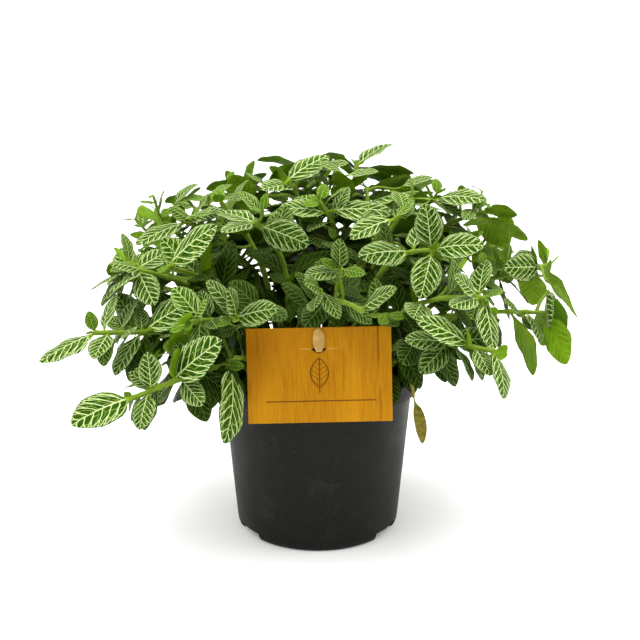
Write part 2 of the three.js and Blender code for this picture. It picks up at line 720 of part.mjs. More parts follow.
// The stake stands in the soil and runs up behind the card to its slit
function makeStake(extra) {
  const slitZ = CARD.bottomZ + (CARD.height - CARD.slitBelowTop - CARD.slitHeight / 2) * Math.cos(radians(CARD.lean));
  const foot = V(CARD.centreX, -PEG.soilRadius, SOIL.level - SOIL.rootDepth - extra);
  const collar = V(CARD.centreX, -PEG.soilRadius, POT.height + 2);
  const top = V(CARD.centreX, cardY(slitZ) + CARD.thickness / 2 + GAP + PEG.thickness / 2, slitZ + 1);
  const half = PEG.stakeWidth / 2 + extra;
  const deep = PEG.thickness / 2 + extra;
  const points = [];
  for (const p of [foot, collar, top]) {
    points.push(V(p.x - half, p.y - deep, p.z), V(p.x + half, p.y - deep, p.z));
    points.push(V(p.x + half, p.y + deep, p.z), V(p.x - half, p.y + deep, p.z));
  }
  const triangles = [[0, 2, 1], [0, 3, 2], [8, 9, 10], [8, 10, 11]];
  for (const low of [0, 4]) {
    for (let k = 0; k < 4; k += 1) {
      const a = low + k;
      const b = low + ((k + 1) % 4);
      triangles.push([a, b, b + 4], [a, b + 4, a + 4]);
    }
  }
  return facets(points, triangles);
}

// Peg: the stake, a neck through the slit, and a drop-shaped head that lies before the card
function makePeg() {
  const slitTop = CARD.height - CARD.slitBelowTop;
  const neck = new THREE.Shape();
  const neckLow = slitTop - CARD.slitHeight + 0.9;
  neck.moveTo(-PEG.neckWidth / 2, neckLow);
  neck.lineTo(PEG.neckWidth / 2, neckLow);
  neck.lineTo(PEG.neckWidth / 2, slitTop - GAP);
  neck.lineTo(-PEG.neckWidth / 2, slitTop - GAP);
  neck.closePath();
  const reach = CARD.thickness + 2 * GAP + 2 * PEG.thickness - 0.4;
  const head = new THREE.Shape();
  head.moveTo(-PEG.neckWidth / 2, neckLow);
  head.lineTo(PEG.neckWidth / 2, neckLow);
  head.quadraticCurveTo(PEG.headWidth * 0.66, slitTop + 5, PEG.headWidth * 0.36, slitTop + PEG.headHeight - 2.5);
  head.quadraticCurveTo(0, slitTop + PEG.headHeight + 0.6, -PEG.headWidth * 0.36, slitTop + PEG.headHeight - 2.5);
  head.quadraticCurveTo(-PEG.headWidth * 0.66, slitTop + 5, -PEG.neckWidth / 2, neckLow);
  const front = CARD.thickness / 2 + GAP + PEG.thickness / 2;
  return mainBody(makeStake(0).add(onCard(neck, reach, 0)).add(onCard(head, PEG.thickness, front)));
}

// The plant: stems first, then the leaves set by hand, then the pairs of the growth rule
const names = Object.keys(SHOOTS);
const lines = names.map(growStem);
const foliage = names.map(() => []);
addGroup(witheredLeaf().samples(), WITHERED.stem, false);
names.forEach((name, i) => {
  for (const row of SET_LEAVES[name] ?? []) growSetLeaf(name, lines[i], foliage[i], row);
});
names.forEach((name, i) => growPairs(name, lines[i], foliage[i]));

const plant = new THREE.Group();
plant.add(namedMesh('pot', makePot(), '#34383a', 0.6));
plant.add(namedMesh('soil', makeSoil(lines), '#33241a', 0.95));
plant.add(namedMesh('label_card', makeCard(), '#d08a1c', 0.5));
plant.add(namedMesh('card_peg', makePeg(), '#e9e2cf', 0.4));
names.forEach((name, i) => {
  plant.add(namedMesh(`stem_${name}`, makeLeafyStem(name, lines[i], foliage[i]), '#4f8a2c', 0.55));
});

export default plant;
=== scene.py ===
"""A potted nerve plant: a nursery pot with soil, veined leafy stems, and a card on a peg.

Metres, +Z up, the viewer stands at -Y. The growth rule works in millimetres.
"""
import itertools
import math

import bmesh
import bpy
import numpy as np
from bpy.props import FloatProperty, FloatVectorProperty, IntProperty, PointerProperty
from mathutils import Matrix, Vector, kdtree


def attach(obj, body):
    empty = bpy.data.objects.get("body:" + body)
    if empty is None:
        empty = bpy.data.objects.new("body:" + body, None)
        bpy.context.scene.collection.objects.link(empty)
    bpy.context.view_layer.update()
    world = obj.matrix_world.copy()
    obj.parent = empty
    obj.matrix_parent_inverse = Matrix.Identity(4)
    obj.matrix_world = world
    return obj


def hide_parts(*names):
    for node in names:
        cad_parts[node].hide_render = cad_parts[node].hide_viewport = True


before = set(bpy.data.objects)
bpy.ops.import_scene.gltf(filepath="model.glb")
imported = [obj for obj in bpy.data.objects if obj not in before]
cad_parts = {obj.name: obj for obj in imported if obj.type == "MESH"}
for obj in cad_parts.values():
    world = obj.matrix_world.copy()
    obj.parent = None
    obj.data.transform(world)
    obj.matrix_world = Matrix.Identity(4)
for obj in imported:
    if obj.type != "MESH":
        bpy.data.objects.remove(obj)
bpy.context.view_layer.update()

bl_info = {
    "name": "Potted nerve plant",
    "version": (1, 0, 0),
    "blender": (4, 5, 0),
    "location": "3D View > Sidebar > Nerve plant",
    "description": "Builds a nursery pot with a veined, hairy-stemmed nerve plant and its card",
    "category": "Add Mesh",
}

MM = 0.001
BODY = "root"

# Pot, soil, card and peg, in millimetres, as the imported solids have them
POT_HEIGHT = 98
RIM_RADIUS = 60
RIM_DEPTH = 11
WALL_TOP_RADIUS = 55.3
WALL_FOOT_RADIUS = 48
POT_WALL = 1.4
CORNER_HEIGHT = 5
SOIL_LEVEL = 84
ROOT_DEPTH = 8
GAP = 0.3
CARD_WIDTH = 80
CARD_HEIGHT = 53.5
CARD_THICKNESS = 0.8
CARD_CENTRE_X = 1.2
CARD_BOTTOM = 87
CARD_LEAN = 8.6
CARD_ROLL = 1.3
SLIT_WIDTH = 9
SLIT_HEIGHT = 2.8
SLIT_BELOW_TOP = 11.6
STAKE_WIDTH = 4
PEG_THICKNESS = 1.6
PEG_HEAD_WIDTH = 7
PEG_HEAD_HEIGHT = 12.4
NECK_WIDTH = 3
STAKE_RADIUS = 49
# The pot's foot and hollow underside, as radius and height, from the middle outwards
FOOT_SECTION = (
    (0, 0), (23.4, 0), (24.4, 0.5), (25.5, 2), (39, 2), (39.6, 0.6), (40.4, 0), (44.6, 0),
    (46, 0.5), (47.2, 2), (47.8, 3.6),
)
POT_FLOOR = 4.4
NOTCH_HALF_ANGLE = 14
NOTCH_INNER = 40
NOTCH_OUTER = 52
NOTCH_HEIGHT = 5
DRAIN_HOLES = 6
DRAIN_RING = 32.5
DRAIN_RADIUS = 3.5

# The front view: where the camera aims, how far off it is, how it looks down, its lens and
# sensor, and the side of the picture in pixels
AIM_RIGHT = 1.46
AIM_HEIGHT = 126
VIEW_DISTANCE = 1000
VIEW_TILT = math.radians(18.5)
LENS = 96.6
SENSOR = 36
PICTURE = 640

# Growth rule, in millimetres and degrees
STEM_RADIUS = 1.75
STEM_STEPS = 40
STEM_APART = 5
PETIOLE_SHARE = 0.13
PETIOLE_WIDTH = 0.12
LEAF_RATIO = 0.29
# How far a leaf keeps from leaves and stems, how far apart two bounding spheres need no closer
# look, and the room that leaves, then stems, leave round the pot and the card
LEAF_CLEAR = 2.9
STEM_CLEAR = 3.3
SPHERE_CLEAR = 3.4
POT_CLEAR = 1.8
CARD_CLEAR = 2.6
SURFACE_CLEAR = 2
LEAF_INSIDE = 50
STEM_RIM_CLEAR = 3.5
STEM_INSIDE = 48
STEM_CARD_CLEAR = STEM_RADIUS + 1.4
GROWTH_SEED = 77
LOOKS_SEED = 4021
CRUMB_SEED = 5
HAIR_SEED = 11
# Where a stem's root stands by its tip's reach, and its curve's lift, lean and lead by its span
ROOT_REACH = (9, 0.2)
ROOT_LIMIT = 42
STEM_LIFT = 0.5
STEM_LEAN = 0.06
STEM_LEAD = 0.36
AMPLE_ROOM = 99.0
# A blade's outline and cup as powers, shared by the rule and the tree that shapes the leaves
OUTLINE_SKEW = 0.86
OUTLINE_FULLNESS = 0.62
CUP_POWER = 1.6
# From these shares of its length on, a leaf keeps clear of the pot, and of its own stem's
# leaves. The squares say how near its base it may touch its own stem.
POT_SHARE = 0.15
OWN_SHARE = 0.36
JOINT_SQUARE = 16
FILL_JOINT_SQUARE = 20

# Each leafy stem by the place of its tip: azimuth (0 is the front, + is to the right),
# reach from the pot's axis, height, then how its tip turns and pitches, how its first pair
# of leaves is rolled, its full leaf length, and the pairs that the growth rule adds to it.
SHOOTS = {
    "left_far": (-66, 135, 137, -15, 4, 0, 30, 3),
    "left_low": (-46, 137, 114, -24, -14, 20, 32, 1),
    "left_mid": (-75, 106, 165, -10, 12, 0, 28, 3),
    "left_broad": (-59, 96, 173, 0, 20, 90, 32, 3),
    "left_high": (-111, 83, 177, 10, 15, 0, 30, 3),
    "left_back": (-112, 103, 180, -10, 35, 0, 26, 3),
    "crown_left": (-66, 39, 189, 0, 40, 45, 32, 4),
    "crown_back": (-166, 57, 194, 0, 40, 45, 30, 4),
    "crown": (179, 22, 192, 90, 50, 0, 32, 4),
    "top": (159, 66, 204, 0, 60, 0, 28, 4),
    "top_right": (153, 65, 190, 30, 25, 0, 34, 4),
    "right_high": (125, 86, 186, -10, 25, 90, 32, 3),
    "rosette": (58, 77, 180, 20, 0, 0, 30, 3),
    "inner_right": (81, 46, 190, 20, 40, 90, 28, 4),
    "front_sprig": (9, 79, 181, 0, 60, 45, 20, 3),
    "right_far": (96, 136, 155, 15, 5, 0, 30, 3),
    "right_mid": (53, 113, 161, 30, -4, 0, 28, 3),
    "right_low": (46, 130, 139, 30, -5, 0, 28, 1),
    "rim_right": (50, 64, 124, -60, 55, 0, 26, 1),
    "right_hang": (81, 131, 137, 10, -5, 90, 30, 2),
    "front_right": (13, 105, 165, 30, -12, 0, 26, 3),
    "front_left": (-24, 108, 159, -30, -10, 45, 28, 1),
    "front": (1, 92, 173, 0, 30, 0, 24, 3),
    "side_right": (114, 110, 179, -20, 10, 0, 28, 3),
    "rim_left": (-34, 88, 124, 34, -5, 0, 26, 0),
    "back_1": (150, 104, 180, 10, 20, 30, 30, 3),
    "back_2": (-150, 102, 182, -10, 18, 60, 30, 3),
    "back_3": (180, 98, 188, 5, 30, 10, 30, 4),
    "back_4": (125, 134, 150, 10, 0, 45, 30, 3),
    "back_5": (-128, 132, 152, -5, 5, 20, 30, 3),
    "back_6": (158, 138, 143, 5, -5, 70, 31, 3),
    "back_7": (-160, 138, 148, -8, 0, 40, 31, 3),
    "back_8": (-178, 134, 118, 10, -15, 0, 30, 2),
    "back_9": (105, 92, 168, 0, 5, 30, 28, 3),
    "left_edge": (-92, 116, 151, 5, 12, 50, 27, 3),
    "back_10": (140, 138, 116, 0, -20, 15, 30, 2),
    "back_11": (-143, 138, 118, -5, -20, 35, 30, 2),
    "fill_1": (-30, 34, 158, -20, 45, 10, 24, 1),
    "fill_2": (35, 38, 168, 10, 35, 30, 26, 1),
    "fill_3": (100, 56, 197, 20, 45, 60, 28, 4),
    "fill_4": (-105, 58, 193, 0, 45, 25, 28, 4),
    "fill_5": (-42, 104, 150, -10, 0, 40, 27, 3),
    "fill_6": (66, 104, 140, 10, -10, 10, 27, 2),
    "fill_7": (-84, 112, 124, -10, -15, 30, 28, 3),
    "fill_8": (-14, 52, 150, -10, -5, 75, 24, 1),
    "back_12": (172, 60, 160, 5, 10, 35, 28, 3),
    "back_13": (-125, 70, 158, 5, 10, 15, 28, 3),
    "fill_9": (30, 76, 150, 10, 5, 20, 26, 2),
    "fill_10": (-60, 72, 150, 0, 10, 60, 27, 2),
    "fill_11": (-5, 14, 160, 0, 60, 60, 22, 1),
}

# Leaves set near the tips that show best: distance back from the stem's tip, then how
# far the leaf runs to the right, up and towards the viewer as seen from the front, and the turn
# of its face from the viewer towards the sky (past 90 its underside shows).
SET_LEAVES = {
    "left_far": [
        (2, -30, -16, 12, 60), (1, -3, 12, 4, 0), (9, -16, -12, 13, 45), (6, 5, 22, -11, 55),
        (15, 8, 19, -13, 55), (27, -7, 13, -7, 25), (29, 30, 17, 10, 40), (27, -13, -24, 13, 50),
    ],
    "left_low": [
        (1, -31, -14, 18, 35), (10, -11, -19, 10, 30), (11, -1, 21, 11, 20), (24, 28, 23, 17, 30),
        (25, -10, -11, -11, 40), (30, 13, -14, 14, 0), (42, 21, -9, -13, 40),
    ],
    "left_mid": [
        (2, 11, -20, 16, 0), (1, 18, 11, -15, 35), (5, -8, 11, -14, 125), (6, -19, -12, 13, 75),
        (4, -13, -4, 15, 45), (2, 8, 15, -14, 50),
    ],
    "left_broad": [(1, 28, 22, 17, 45)],
    "left_high": [(1, -31, -13, 12, 60), (4, 9, 19, -21, 80), (1, 24, 5, 10, 55)],
    "left_back": [(1, -14, 1, -17, 130), (2, 1, 16, -17, 75), (10, 9, 9, -18, 110)],
    "crown_left": [(2, 30, -12, 9, 10), (1, -18, -6, 18, 60), (3, -24, 8, -16, 60)],
    "crown_back": [(2, 19, 16, -16, 40), (5, -17, 15, -16, 110), (3, -20, -3, 19, 55)],
    "crown": [(1, 4, 11, -7, 0), (2, -10, -2, 7, 45), (8, 40, -1, 3, 55), (10, -26, 9, 13, 55)],
    "top": [(1, 22, 15, -14, 65), (5, -13, 8, -18, 110)],
    "top_right": [(1, 30, 5, -23, 105), (13, 30, 6, 19, 75)],
    "right_high": [(1, 29, -2, 18, 55), (2, -17, 5, -22, 115)],
    "rosette": [
        (3, -4, 25, 16, 5), (2, 28, 2, 12, 30), (2, -1, -28, 13, 0), (14, -30, -3, 17, 40),
        (13, 8, 18, -17, 50),
    ],
    "inner_right": [(2, -26, -12, 10, 45), (2, 11, 12, -6, 55)],
    "front_sprig": [
        (1, 0, 16, 12, 30), (1, -11, 5, 7, 50), (4, -19, -2, 11, 45), (1, 13, -3, 8, 40),
    ],
    "right_far": [
        (5, -24, -1, 18, 0), (2, 5, 9, -19, 120), (7, 18, -24, 12, 105), (11, 12, -22, -17, 140),
    ],
    "right_mid": [
        (1, 2, -28, 11, 40), (3, -17, -5, 17, 50), (3, 5, 21, -14, 45), (4, -14, 10, 14, 45),
        (1, 11, 5, -11, 55),
    ],
    "right_low": [
        (1, 5, -26, 12, 55), (11, 8, -15, 11, 35), (12, -31, 15, 9, 50), (24, 10, -20, 11, 70),
        (24, -26, 2, 11, 45),
    ],
    "rim_right": [(3, -15, 20, 9, 70)],
    "right_hang": [
        (1, 12, -29, 13, 135), (2, 2, -19, -21, 120), (11, 7, -18, 14, 60),
        (20, 17, -34, 12, 110),
    ],
    "front_right": [(1, 18, 11, 15, 55)],
    "front_left": [(1, 23, 3, 16, 30), (1, -3, 16, 18, 60), (3, -16, 19, 14, 55)],
    "front": [(1, 10, -15, 9, 40), (1, -9, 4, 17, 45), (7, -3, -9, 20, 55)],
    "side_right": [(1, 19, -2, 11, 125), (3, 26, -17, -15, 130)],
    "rim_left": [(1, 10, 0, 5, 0), (6, 3, -47, 12, 65)],
}

# Twigs that only the looks need, to close the outline: their stem, how far back from its tip
# they start, where they end in the front view (pixels across and down, millimetres towards the
# viewer), and their leaves, given as above without the distance back
TWIGS = (
    ("back_2", 8, (243, 184, -58), [(7, 15, -4, 118), (-23, -4, -8, 118)]),
    ("crown_back", 7, (265, 186, -42), [(17, 16, -6, 118), (-12, 9, -8, 70)]),
    ("crown_back", 4, (302, 166, -48), [(-28, 4, -8, 100), (26, 6, -12, 100)]),
    ("crown_back", 9, (284, 184, -20), [(27, 18, -10, 45)]),
    ("crown_back", 3, (316, 172, -36), [(20, 5, 4, 60), (9, 8, -6, 110)]),
    ("back_3", 8, (304, 192, -66), [(-15, 3, -4, 70), (14, 8, -4, 66), (-2, -14, 0, 50)]),
    ("top", 9, (358, 171, -40), [(35, -1, -8, 102), (-16, 8, -6, 104), (26, -8, -12, 108)]),
    ("top", 20, (368, 197, -40), [(17, 2, -4, 60), (-14, -6, 2, 60), (2, -14, 0, 50)]),
    ("top", 14, (345, 176, -20), [(-16, 8, 4, 60), (20, 2, 6, 65)]),
    ("top_right", 3, (400, 188, -36), [(17, -4, 5, 124), (20, 5, -5, 62)]),
    ("left_back", 3, (158, 216, -17), [(0.5, 15, -3, 84), (6, -10, 5, 40)]),
    ("left_high", 6, (173, 208, -24), [(15, 15, -4, 62), (-10, -6, 6, 45)]),
    ("left_high", 12, (187, 197, -30), [(-14, -3, -6, 120), (8, 6, -8, 100)]),
    ("left_high", 16, (209, 199, -26), [(-14, 1, 6, 60), (14, 9, -4, 62), (20, -2, 4, 60)]),
    ("left_high", 3, (192, 222, -8), [(-13, 8, 8, 40), (2, 8, 4, 60)]),
    ("left_mid", 5, (128, 262, 26), [(-9, 8, -6, 118), (-4, 17, -5, 60)]),
    ("left_high", 9, (197, 208, -42), [(-17, 5, -2, 45), (13, 9, -2, 40), (15, -3, -2, 45)]),
    ("crown_back", 14, (266, 194, -48), [(-13, 8, -4, 62), (9, 10, -4, 62), (14, -3, -2, 40)]),
    ("left_edge", 3, (129, 269, 10), [(-23, -13, 6, 80), (-13, -18, 10, 60)]),
    ("right_far", 8, (548, 282, 35), [(20, -22, 14, 96), (2, 13, -4, 70)]),
    ("right_far", 3, (547, 268, -6), [(-5, 16, -8, 112), (8, 7, -6, 105)]),
    ("side_right", 2, (492, 222, -24), [(22, -11, -4, 116), (-18, -2, 4, 112)]),
    ("right_hang", 5, (548, 290, 12), [(8, -32, 6, 118), (-4, -26, 12, 80)]),
)

# The withered leaf hangs from the foot of one stem, outside the rim
WITHERED_STEM = "right_low"
WITHERED_BACK = 84
WITHERED_BASE = (54, -47, 96)
WITHERED_ALONG = (0.2, -0.1, -1)
WITHERED_LENGTH = 28
WITHERED_RATIO = 0.13
WITHERED_RISE = 4
WITHERED_BEND = 20
WITHERED_CUP = 0.5
WITHERED_LEAD = 8

# From the tip of a stem backwards: a pair's size, opening, spacing and age
PAIR_SIZE = (0.5, 0.88, 1, 0.95, 0.85, 0.8)
PAIR_OPENING = (52, 68, 76, 82, 86, 88)
PAIR_SPACING = (9, 16, 21, 22, 22, 22)
PAIR_AGES = (0.15, 0.6, 0.9, 1, 1, 1)
# A pair's first place behind the tip or, as a share of leaf length, behind the listed leaves,
# the bare foot of a stem, and the leaf length that the spacing is meant for
FIRST_BACK = 1.5
FIRST_SHARE = 0.62
BARE_FOOT = 26
USUAL_LENGTH = 30
# What chance gives a leaf of a pair, as lowest value and range, or as a sway in degrees
PAIR_STEP = (0.85, 0.3)
PAIR_LENGTH = (0.88, 0.24)
PAIR_RATIO = (0.28, 0.04)
PAIR_BEND = (18, 36)
PAIR_CUP = (-0.22, 0.4)
PAIR_SKY = (0.3, 0.4)
PAIR_SWAY = 24
OPENING_SWAY = 20
# The same for a listed leaf, and how much of each move it makes
SET_BEND = (14, 26)
SET_CUP = (-0.2, 0.35)
SET_SWING = 0.6
SET_LIFT = 0.7
# Its age by its length and its distance back: youngest, length at age 0, then what adds 1
SET_AGE = (0.2, 10, 16, 60)
TWIG_AGE = (0.3, 8, 16)
# The corners of the box that the leaves on twigs keep to
BOX_LOW = np.array((-150, -117, 0))
BOX_HIGH = np.array((145.5, 144, 212.6))
# Leaves that only the looks need, where there is room: their clearance, the moves they try, and
# the places on a blade (share of its length, side) that are tested
TWIG_LEAF_CLEAR = 1.5
TWIG_STEM_CLEAR = 1.9
FILL_LEAF_CLEAR = 2.1
FILL_STEM_CLEAR = 2.4
FILL_SWINGS = (0, 24, -24)
FILL_LIFTS = (0, -20, 20)
FILL_SHRINKS = (1, 0.72)
FILL_MOVES = (FILL_SHRINKS, FILL_LIFTS, FILL_SWINGS)
TIP_MOVES = ((1, 0.7), FILL_LIFTS, FILL_SWINGS)
FILL_SHARES = np.repeat((0.18, 0.34, 0.5, 0.66, 0.82, 0.97), 3)
FILL_SIDES = np.tile((-0.8, 0.0, 0.8), 6)
# Down a stem: first place and spacing, the bare foot, and a leaf's size and age by its place
FILL_START = (4, 5)
FILL_SPACING = (10, 4)
FILL_FOOT = 16
FILL_GROWN = (0.62, 0.38)
FILL_GROWN_BACK = 30
FILL_AGE = (0.45, 0.02)
# At a tip: each small pair's distance back and leaf length, and what its age grows by
TIP_PAIRS = ((0.2, 13), (1.6, 22))
TIP_AGE = 0.12
# In the middle of the front view they stay deep inside, in the shade: x, y, half width, half
# height in pixels, and how near the viewer they may be, in millimetres
SHADED = ((318, 272, 86, 52), 12)
# Where the leaves hang darkest in the front view, in pixels: x, y, half width, half height. It
# ends behind a depth, and adds to the shade of a leaf, less if that is listed.
HOLLOW = (305, 277, 105, 57)
HOLLOW_BACK = 10
HOLLOW_SHADE = 0.55
SET_HOLLOW_SHADE = 0.3
# The point that the shade is measured from, and the square millimetres of cover that make it
# full. The leaves between two distances outwards count, inside a cone.
SHADE_HEART = np.array((0, 12, 80))
SHADE_COVER = 3600
SHADE_NEAR = 5
SHADE_FAR = 75
SHADE_CONE = (8, 0.5)
SET_SHADE = 0.35
# The flat-topped dome that the sprigs and the filling leaves keep inside
DOME_CENTRE = np.array((0, 12, 92))
DOME_REACH = np.array((146, 130, 121))
DOME_POWER = 2.6
DOME_FRONT = -116
# Sprigs that stand out from the stems: distances back from the tip, and a sprig's radius
SPRIG_BACKS = (6, 16, 27, 39, 52, 66, 82)
TOP_SPRIG_BACKS = (1, 6, 12, 19, 27, 36, 47, 60)
HIGH_TIP = 178
SPRIG_RADIUS = 1.0
# How a sprig grows: the sway of its place, the bare foot of its stem, its turn round the stem,
# its rise and reach by chance, its curve's lead, and the points of it that need room
SPRIG_SWAY = 5
SPRIG_FOOT = 40
SPRIG_TURN = 120
SPRIG_RISE = (0.4, 0.5)
SPRIG_REACH = (11, 10)
SPRIG_LEAD = 0.35
SPRIG_FREE = 12
SPRIG_CLEAR = 2.2
# Its leaves: their length as a share of the stem's, and each pair's place back along the sprig
# (in millimetres, then as a share of its reach) with its share of growth
SPRIG_LEAF = 0.62
SPRIG_PAIRS = ((0.5, 0, 0.3), (0, 0.38, 0.72))
# Openings between the leaves that show the backdrop, in pixels of the front view: x, y, radius
OPENINGS = np.array((
    (237, 250, 11), (392, 237, 13), (470, 268, 11), (222, 289, 9), (176, 282, 11), (455, 306, 11),
    (148, 306, 9), (164, 240, 9), (350, 280, 6), (386, 294, 6), (524, 296, 8), (424, 306, 7),
    (258, 262, 7), (187, 268, 7), (268, 272, 6),
))
OPENING_X, OPENING_Y, OPENING_RADIUS = OPENINGS.T
# Size of the cells, in pixels, in which the set leaves' places in the front view are kept, how
# many there are each way, and what stands in an empty one
SPOT = 4
CELLS = PICTURE // SPOT
NOTHING = -999.0
# Moves that a leaf tries, in this order, until it is clear of its neighbours
SWINGS = (0, 10, -10, 20, -20, 32, -32, 45, -45)
LIFTS = (0, -12, 12, -25, 25)
SHRINKS = (1, 0.85, 0.7)
MOVES = (SHRINKS, LIFTS, SWINGS)
ROOT_SHIFTS = (0, 7, -6, 14)
ROOT_TURNS = (0, 9, -9, 18, -18, 27, -27, 38, -38)


def linear(red, green, blue):
    """A colour given as screen values from 0 to 255, in Blender's linear light."""
    shares = [value / 255 for value in (red, green, blue)]
    return tuple(s / 12.92 if s <= 0.04045 else ((s + 0.055) / 1.055) ** 2.4 for s in shares)


def size_property(name, description, millimetres):
    """A length that a user may change, with its default given in millimetres."""
    return FloatProperty(
        name=name, description=description, default=millimetres * MM, min=0,
        precision=5, subtype="DISTANCE", unit="LENGTH",
    )


def number_property(name, description, default, least=0):
    """A plain number that a user may change."""
    return FloatProperty(name=name, description=description, default=default, min=least)


def colour_property(name, description, red, green, blue):
    """A colour that a user may change, with its default given in screen values."""
    return FloatVectorProperty(
        name=name, description=description, default=linear(red, green, blue),
        size=3, min=0, max=1, subtype="COLOR",
    )


class PotSettings(bpy.types.PropertyGroup):
    """Sizes and colour of the nursery pot."""

    height: size_property("Height", "From the floor to the top of the rim", POT_HEIGHT)
    rim_radius: size_property("Rim radius", "Outer radius of the rim band", RIM_RADIUS)
    rim_depth: size_property("Rim depth", "Height of the rim band", RIM_DEPTH)
    wall_top_radius: size_property("Wall top", "Outer radius under the rim", WALL_TOP_RADIUS)
    wall_foot_radius: size_property("Wall foot", "Outer radius above the foot", WALL_FOOT_RADIUS)
    wall: size_property("Wall", "Thickness of the wall", POT_WALL)
    sides: IntProperty(name="Sides", description="Facets round the pot", default=120, min=24)
    plastic: colour_property("Plastic", "Colour of the pot", 17, 18, 14)


class SoilSettings(bpy.types.PropertyGroup):
    """Sizes and colours of the potting soil."""

    level: size_property("Level", "Height of the soil at the wall", SOIL_LEVEL)
    crumb: size_property("Crumb", "Radius of a large crumb", 1.5)
    density: number_property("Crumbs", "Crumbs on a square metre", 260000)
    earth: colour_property("Earth", "Main colour of the soil", 58, 42, 30)
    grit: colour_property("Grit", "Colour of the pale bits", 176, 164, 142)


class CardSettings(bpy.types.PropertyGroup):
    """Sizes and colours of the card and its peg."""

    width: size_property("Width", "Width of the card", CARD_WIDTH)
    height: size_property("Height", "Height of the card", CARD_HEIGHT)
    thickness: size_property("Thickness", "Thickness of the card", CARD_THICKNESS)
    wood: colour_property("Wood", "Main colour of the printed wood", 187, 130, 20)
    dark_wood: colour_property("Dark wood", "Colour of the dark grain", 168, 108, 12)
    ink: colour_property("Ink", "Colour of the printed line and leaf", 84, 48, 14)
    # The peg's amber is painted light: the card's colour that shows through the milky plastic
    peg: colour_property("Peg", "Colour of the milky peg", 172, 130, 48)


class LeafSettings(bpy.types.PropertyGroup):
    """Sizes and colours of the leaves, stems and hairs."""

    blade: size_property("Blade", "Thickness of a leaf's blade", 0.42)
    petiole: size_property("Petiole", "Thickness of a leaf's stalk", 1.5)
    ripple: number_property("Ripple", "Waves of the margin, as a share of half the width", 0.07)
    root_radius: size_property("Root radius", "Radius of a stem at the soil", STEM_RADIUS)
    tip_radius: size_property("Tip radius", "Radius of a stem at its tip", 1.15)
    knee: size_property("Knee", "How far a stem swells where leaves join", 0.45)
    hair_length: size_property("Hair length", "Length of a hair on a stem", 1.0)
    hair_radius: size_property("Hair radius", "Radius of a hair at its root", 0.045)
    hairs: number_property("Hairs", "Hairs on a square metre of stem", 300000)
    dark: colour_property("Dark green", "Green between the veins of a grown leaf", 32, 62, 6)
    fresh: colour_property("Fresh green", "Green between the veins of a young leaf", 46, 86, 7)
    pale: colour_property("Pale vein", "Veins of a grown leaf", 184, 202, 140)
    lime: colour_property("Lime vein", "Veins of a young leaf", 150, 180, 66)
    under: colour_property("Underside", "Underside of a leaf", 124, 168, 18)
    stem: colour_property("Stem", "Colour of a stem", 108, 136, 22)
    woody: colour_property("Woody stem", "Colour of a stem near its root", 62, 72, 22)
    hair: colour_property("Hair", "Colour of the hairs", 214, 222, 170)
    dry: colour_property("Dry leaf", "Colour of the withered leaf", 134, 118, 44)


class StudioSettings(bpy.types.PropertyGroup):
    """The camera, the lights and the floor."""

    distance: size_property("Distance", "Camera to the middle of the plant", VIEW_DISTANCE)
    tilt: FloatProperty(
        name="Tilt", description="How far the camera looks down", default=VIEW_TILT,
        subtype="ANGLE", unit="ROTATION",
    )
    lens: number_property("Lens", "Focal length in millimetres", LENS, 1)
    target_height: size_property("Aim height", "Height that the camera aims at", AIM_HEIGHT)
    target_right: size_property("Aim right", "How far right of the axis it aims", AIM_RIGHT)
    floor: colour_property("Floor", "Colour of the floor", 248, 249, 255)


class PlantSettings(bpy.types.PropertyGroup):
    """All that a user may change."""

    pot: PointerProperty(type=PotSettings)
    soil: PointerProperty(type=SoilSettings)
    card: PointerProperty(type=CardSettings)
    leaf: PointerProperty(type=LeafSettings)
    studio: PointerProperty(type=StudioSettings)


class Draws:
    """Repeatable random draws between 0 and 1."""

    def __init__(self, seed):
        self.state = seed

    def next(self):
        self.state = self.state * 16807 % 2147483647
        return self.state / 2147483647


# Vectors of the growth rule

def vec(x, y, z):
    return np.array((x, y, z), float)


SKY = vec(0, 0, 1)
VIEW_TARGET = vec(AIM_RIGHT, 0, AIM_HEIGHT)
VIEW_ZOOM = LENS / SENSOR * PICTURE
VIEW_RIGHT = vec(1, 0, 0)
VIEW_UP = vec(0, math.sin(VIEW_TILT), math.cos(VIEW_TILT))
VIEW_TOWARD = vec(0, -math.cos(VIEW_TILT), math.sin(VIEW_TILT))


def ranged(span, chance):
    """The lowest value and a share of the range above it."""
    low, width = span
    return low + width * chance


def bearing(azimuth, elevation=0.0):
    """The unit vector towards an azimuth, 0 being the front, and an elevation."""
    a = math.radians(azimuth)
    e = math.radians(elevation)
    return vec(math.sin(a) * math.cos(e), -math.cos(a) * math.cos(e), math.sin(e))


def unit(vector):
    return vector / np.linalg.norm(vector)


def spun(vector, axis, degrees):
    """The vector turned about a unit axis."""
    a = math.radians(degrees)
    turned = vector * math.cos(a) + np.cross(axis, vector) * math.sin(a)
    return turned + axis * (axis @ vector) * (1 - math.cos(a))


def square_to(vector, direction):
    """The part of a vector that is square to a unit direction, as a unit vector."""
    return unit(vector - direction * (vector @ direction))


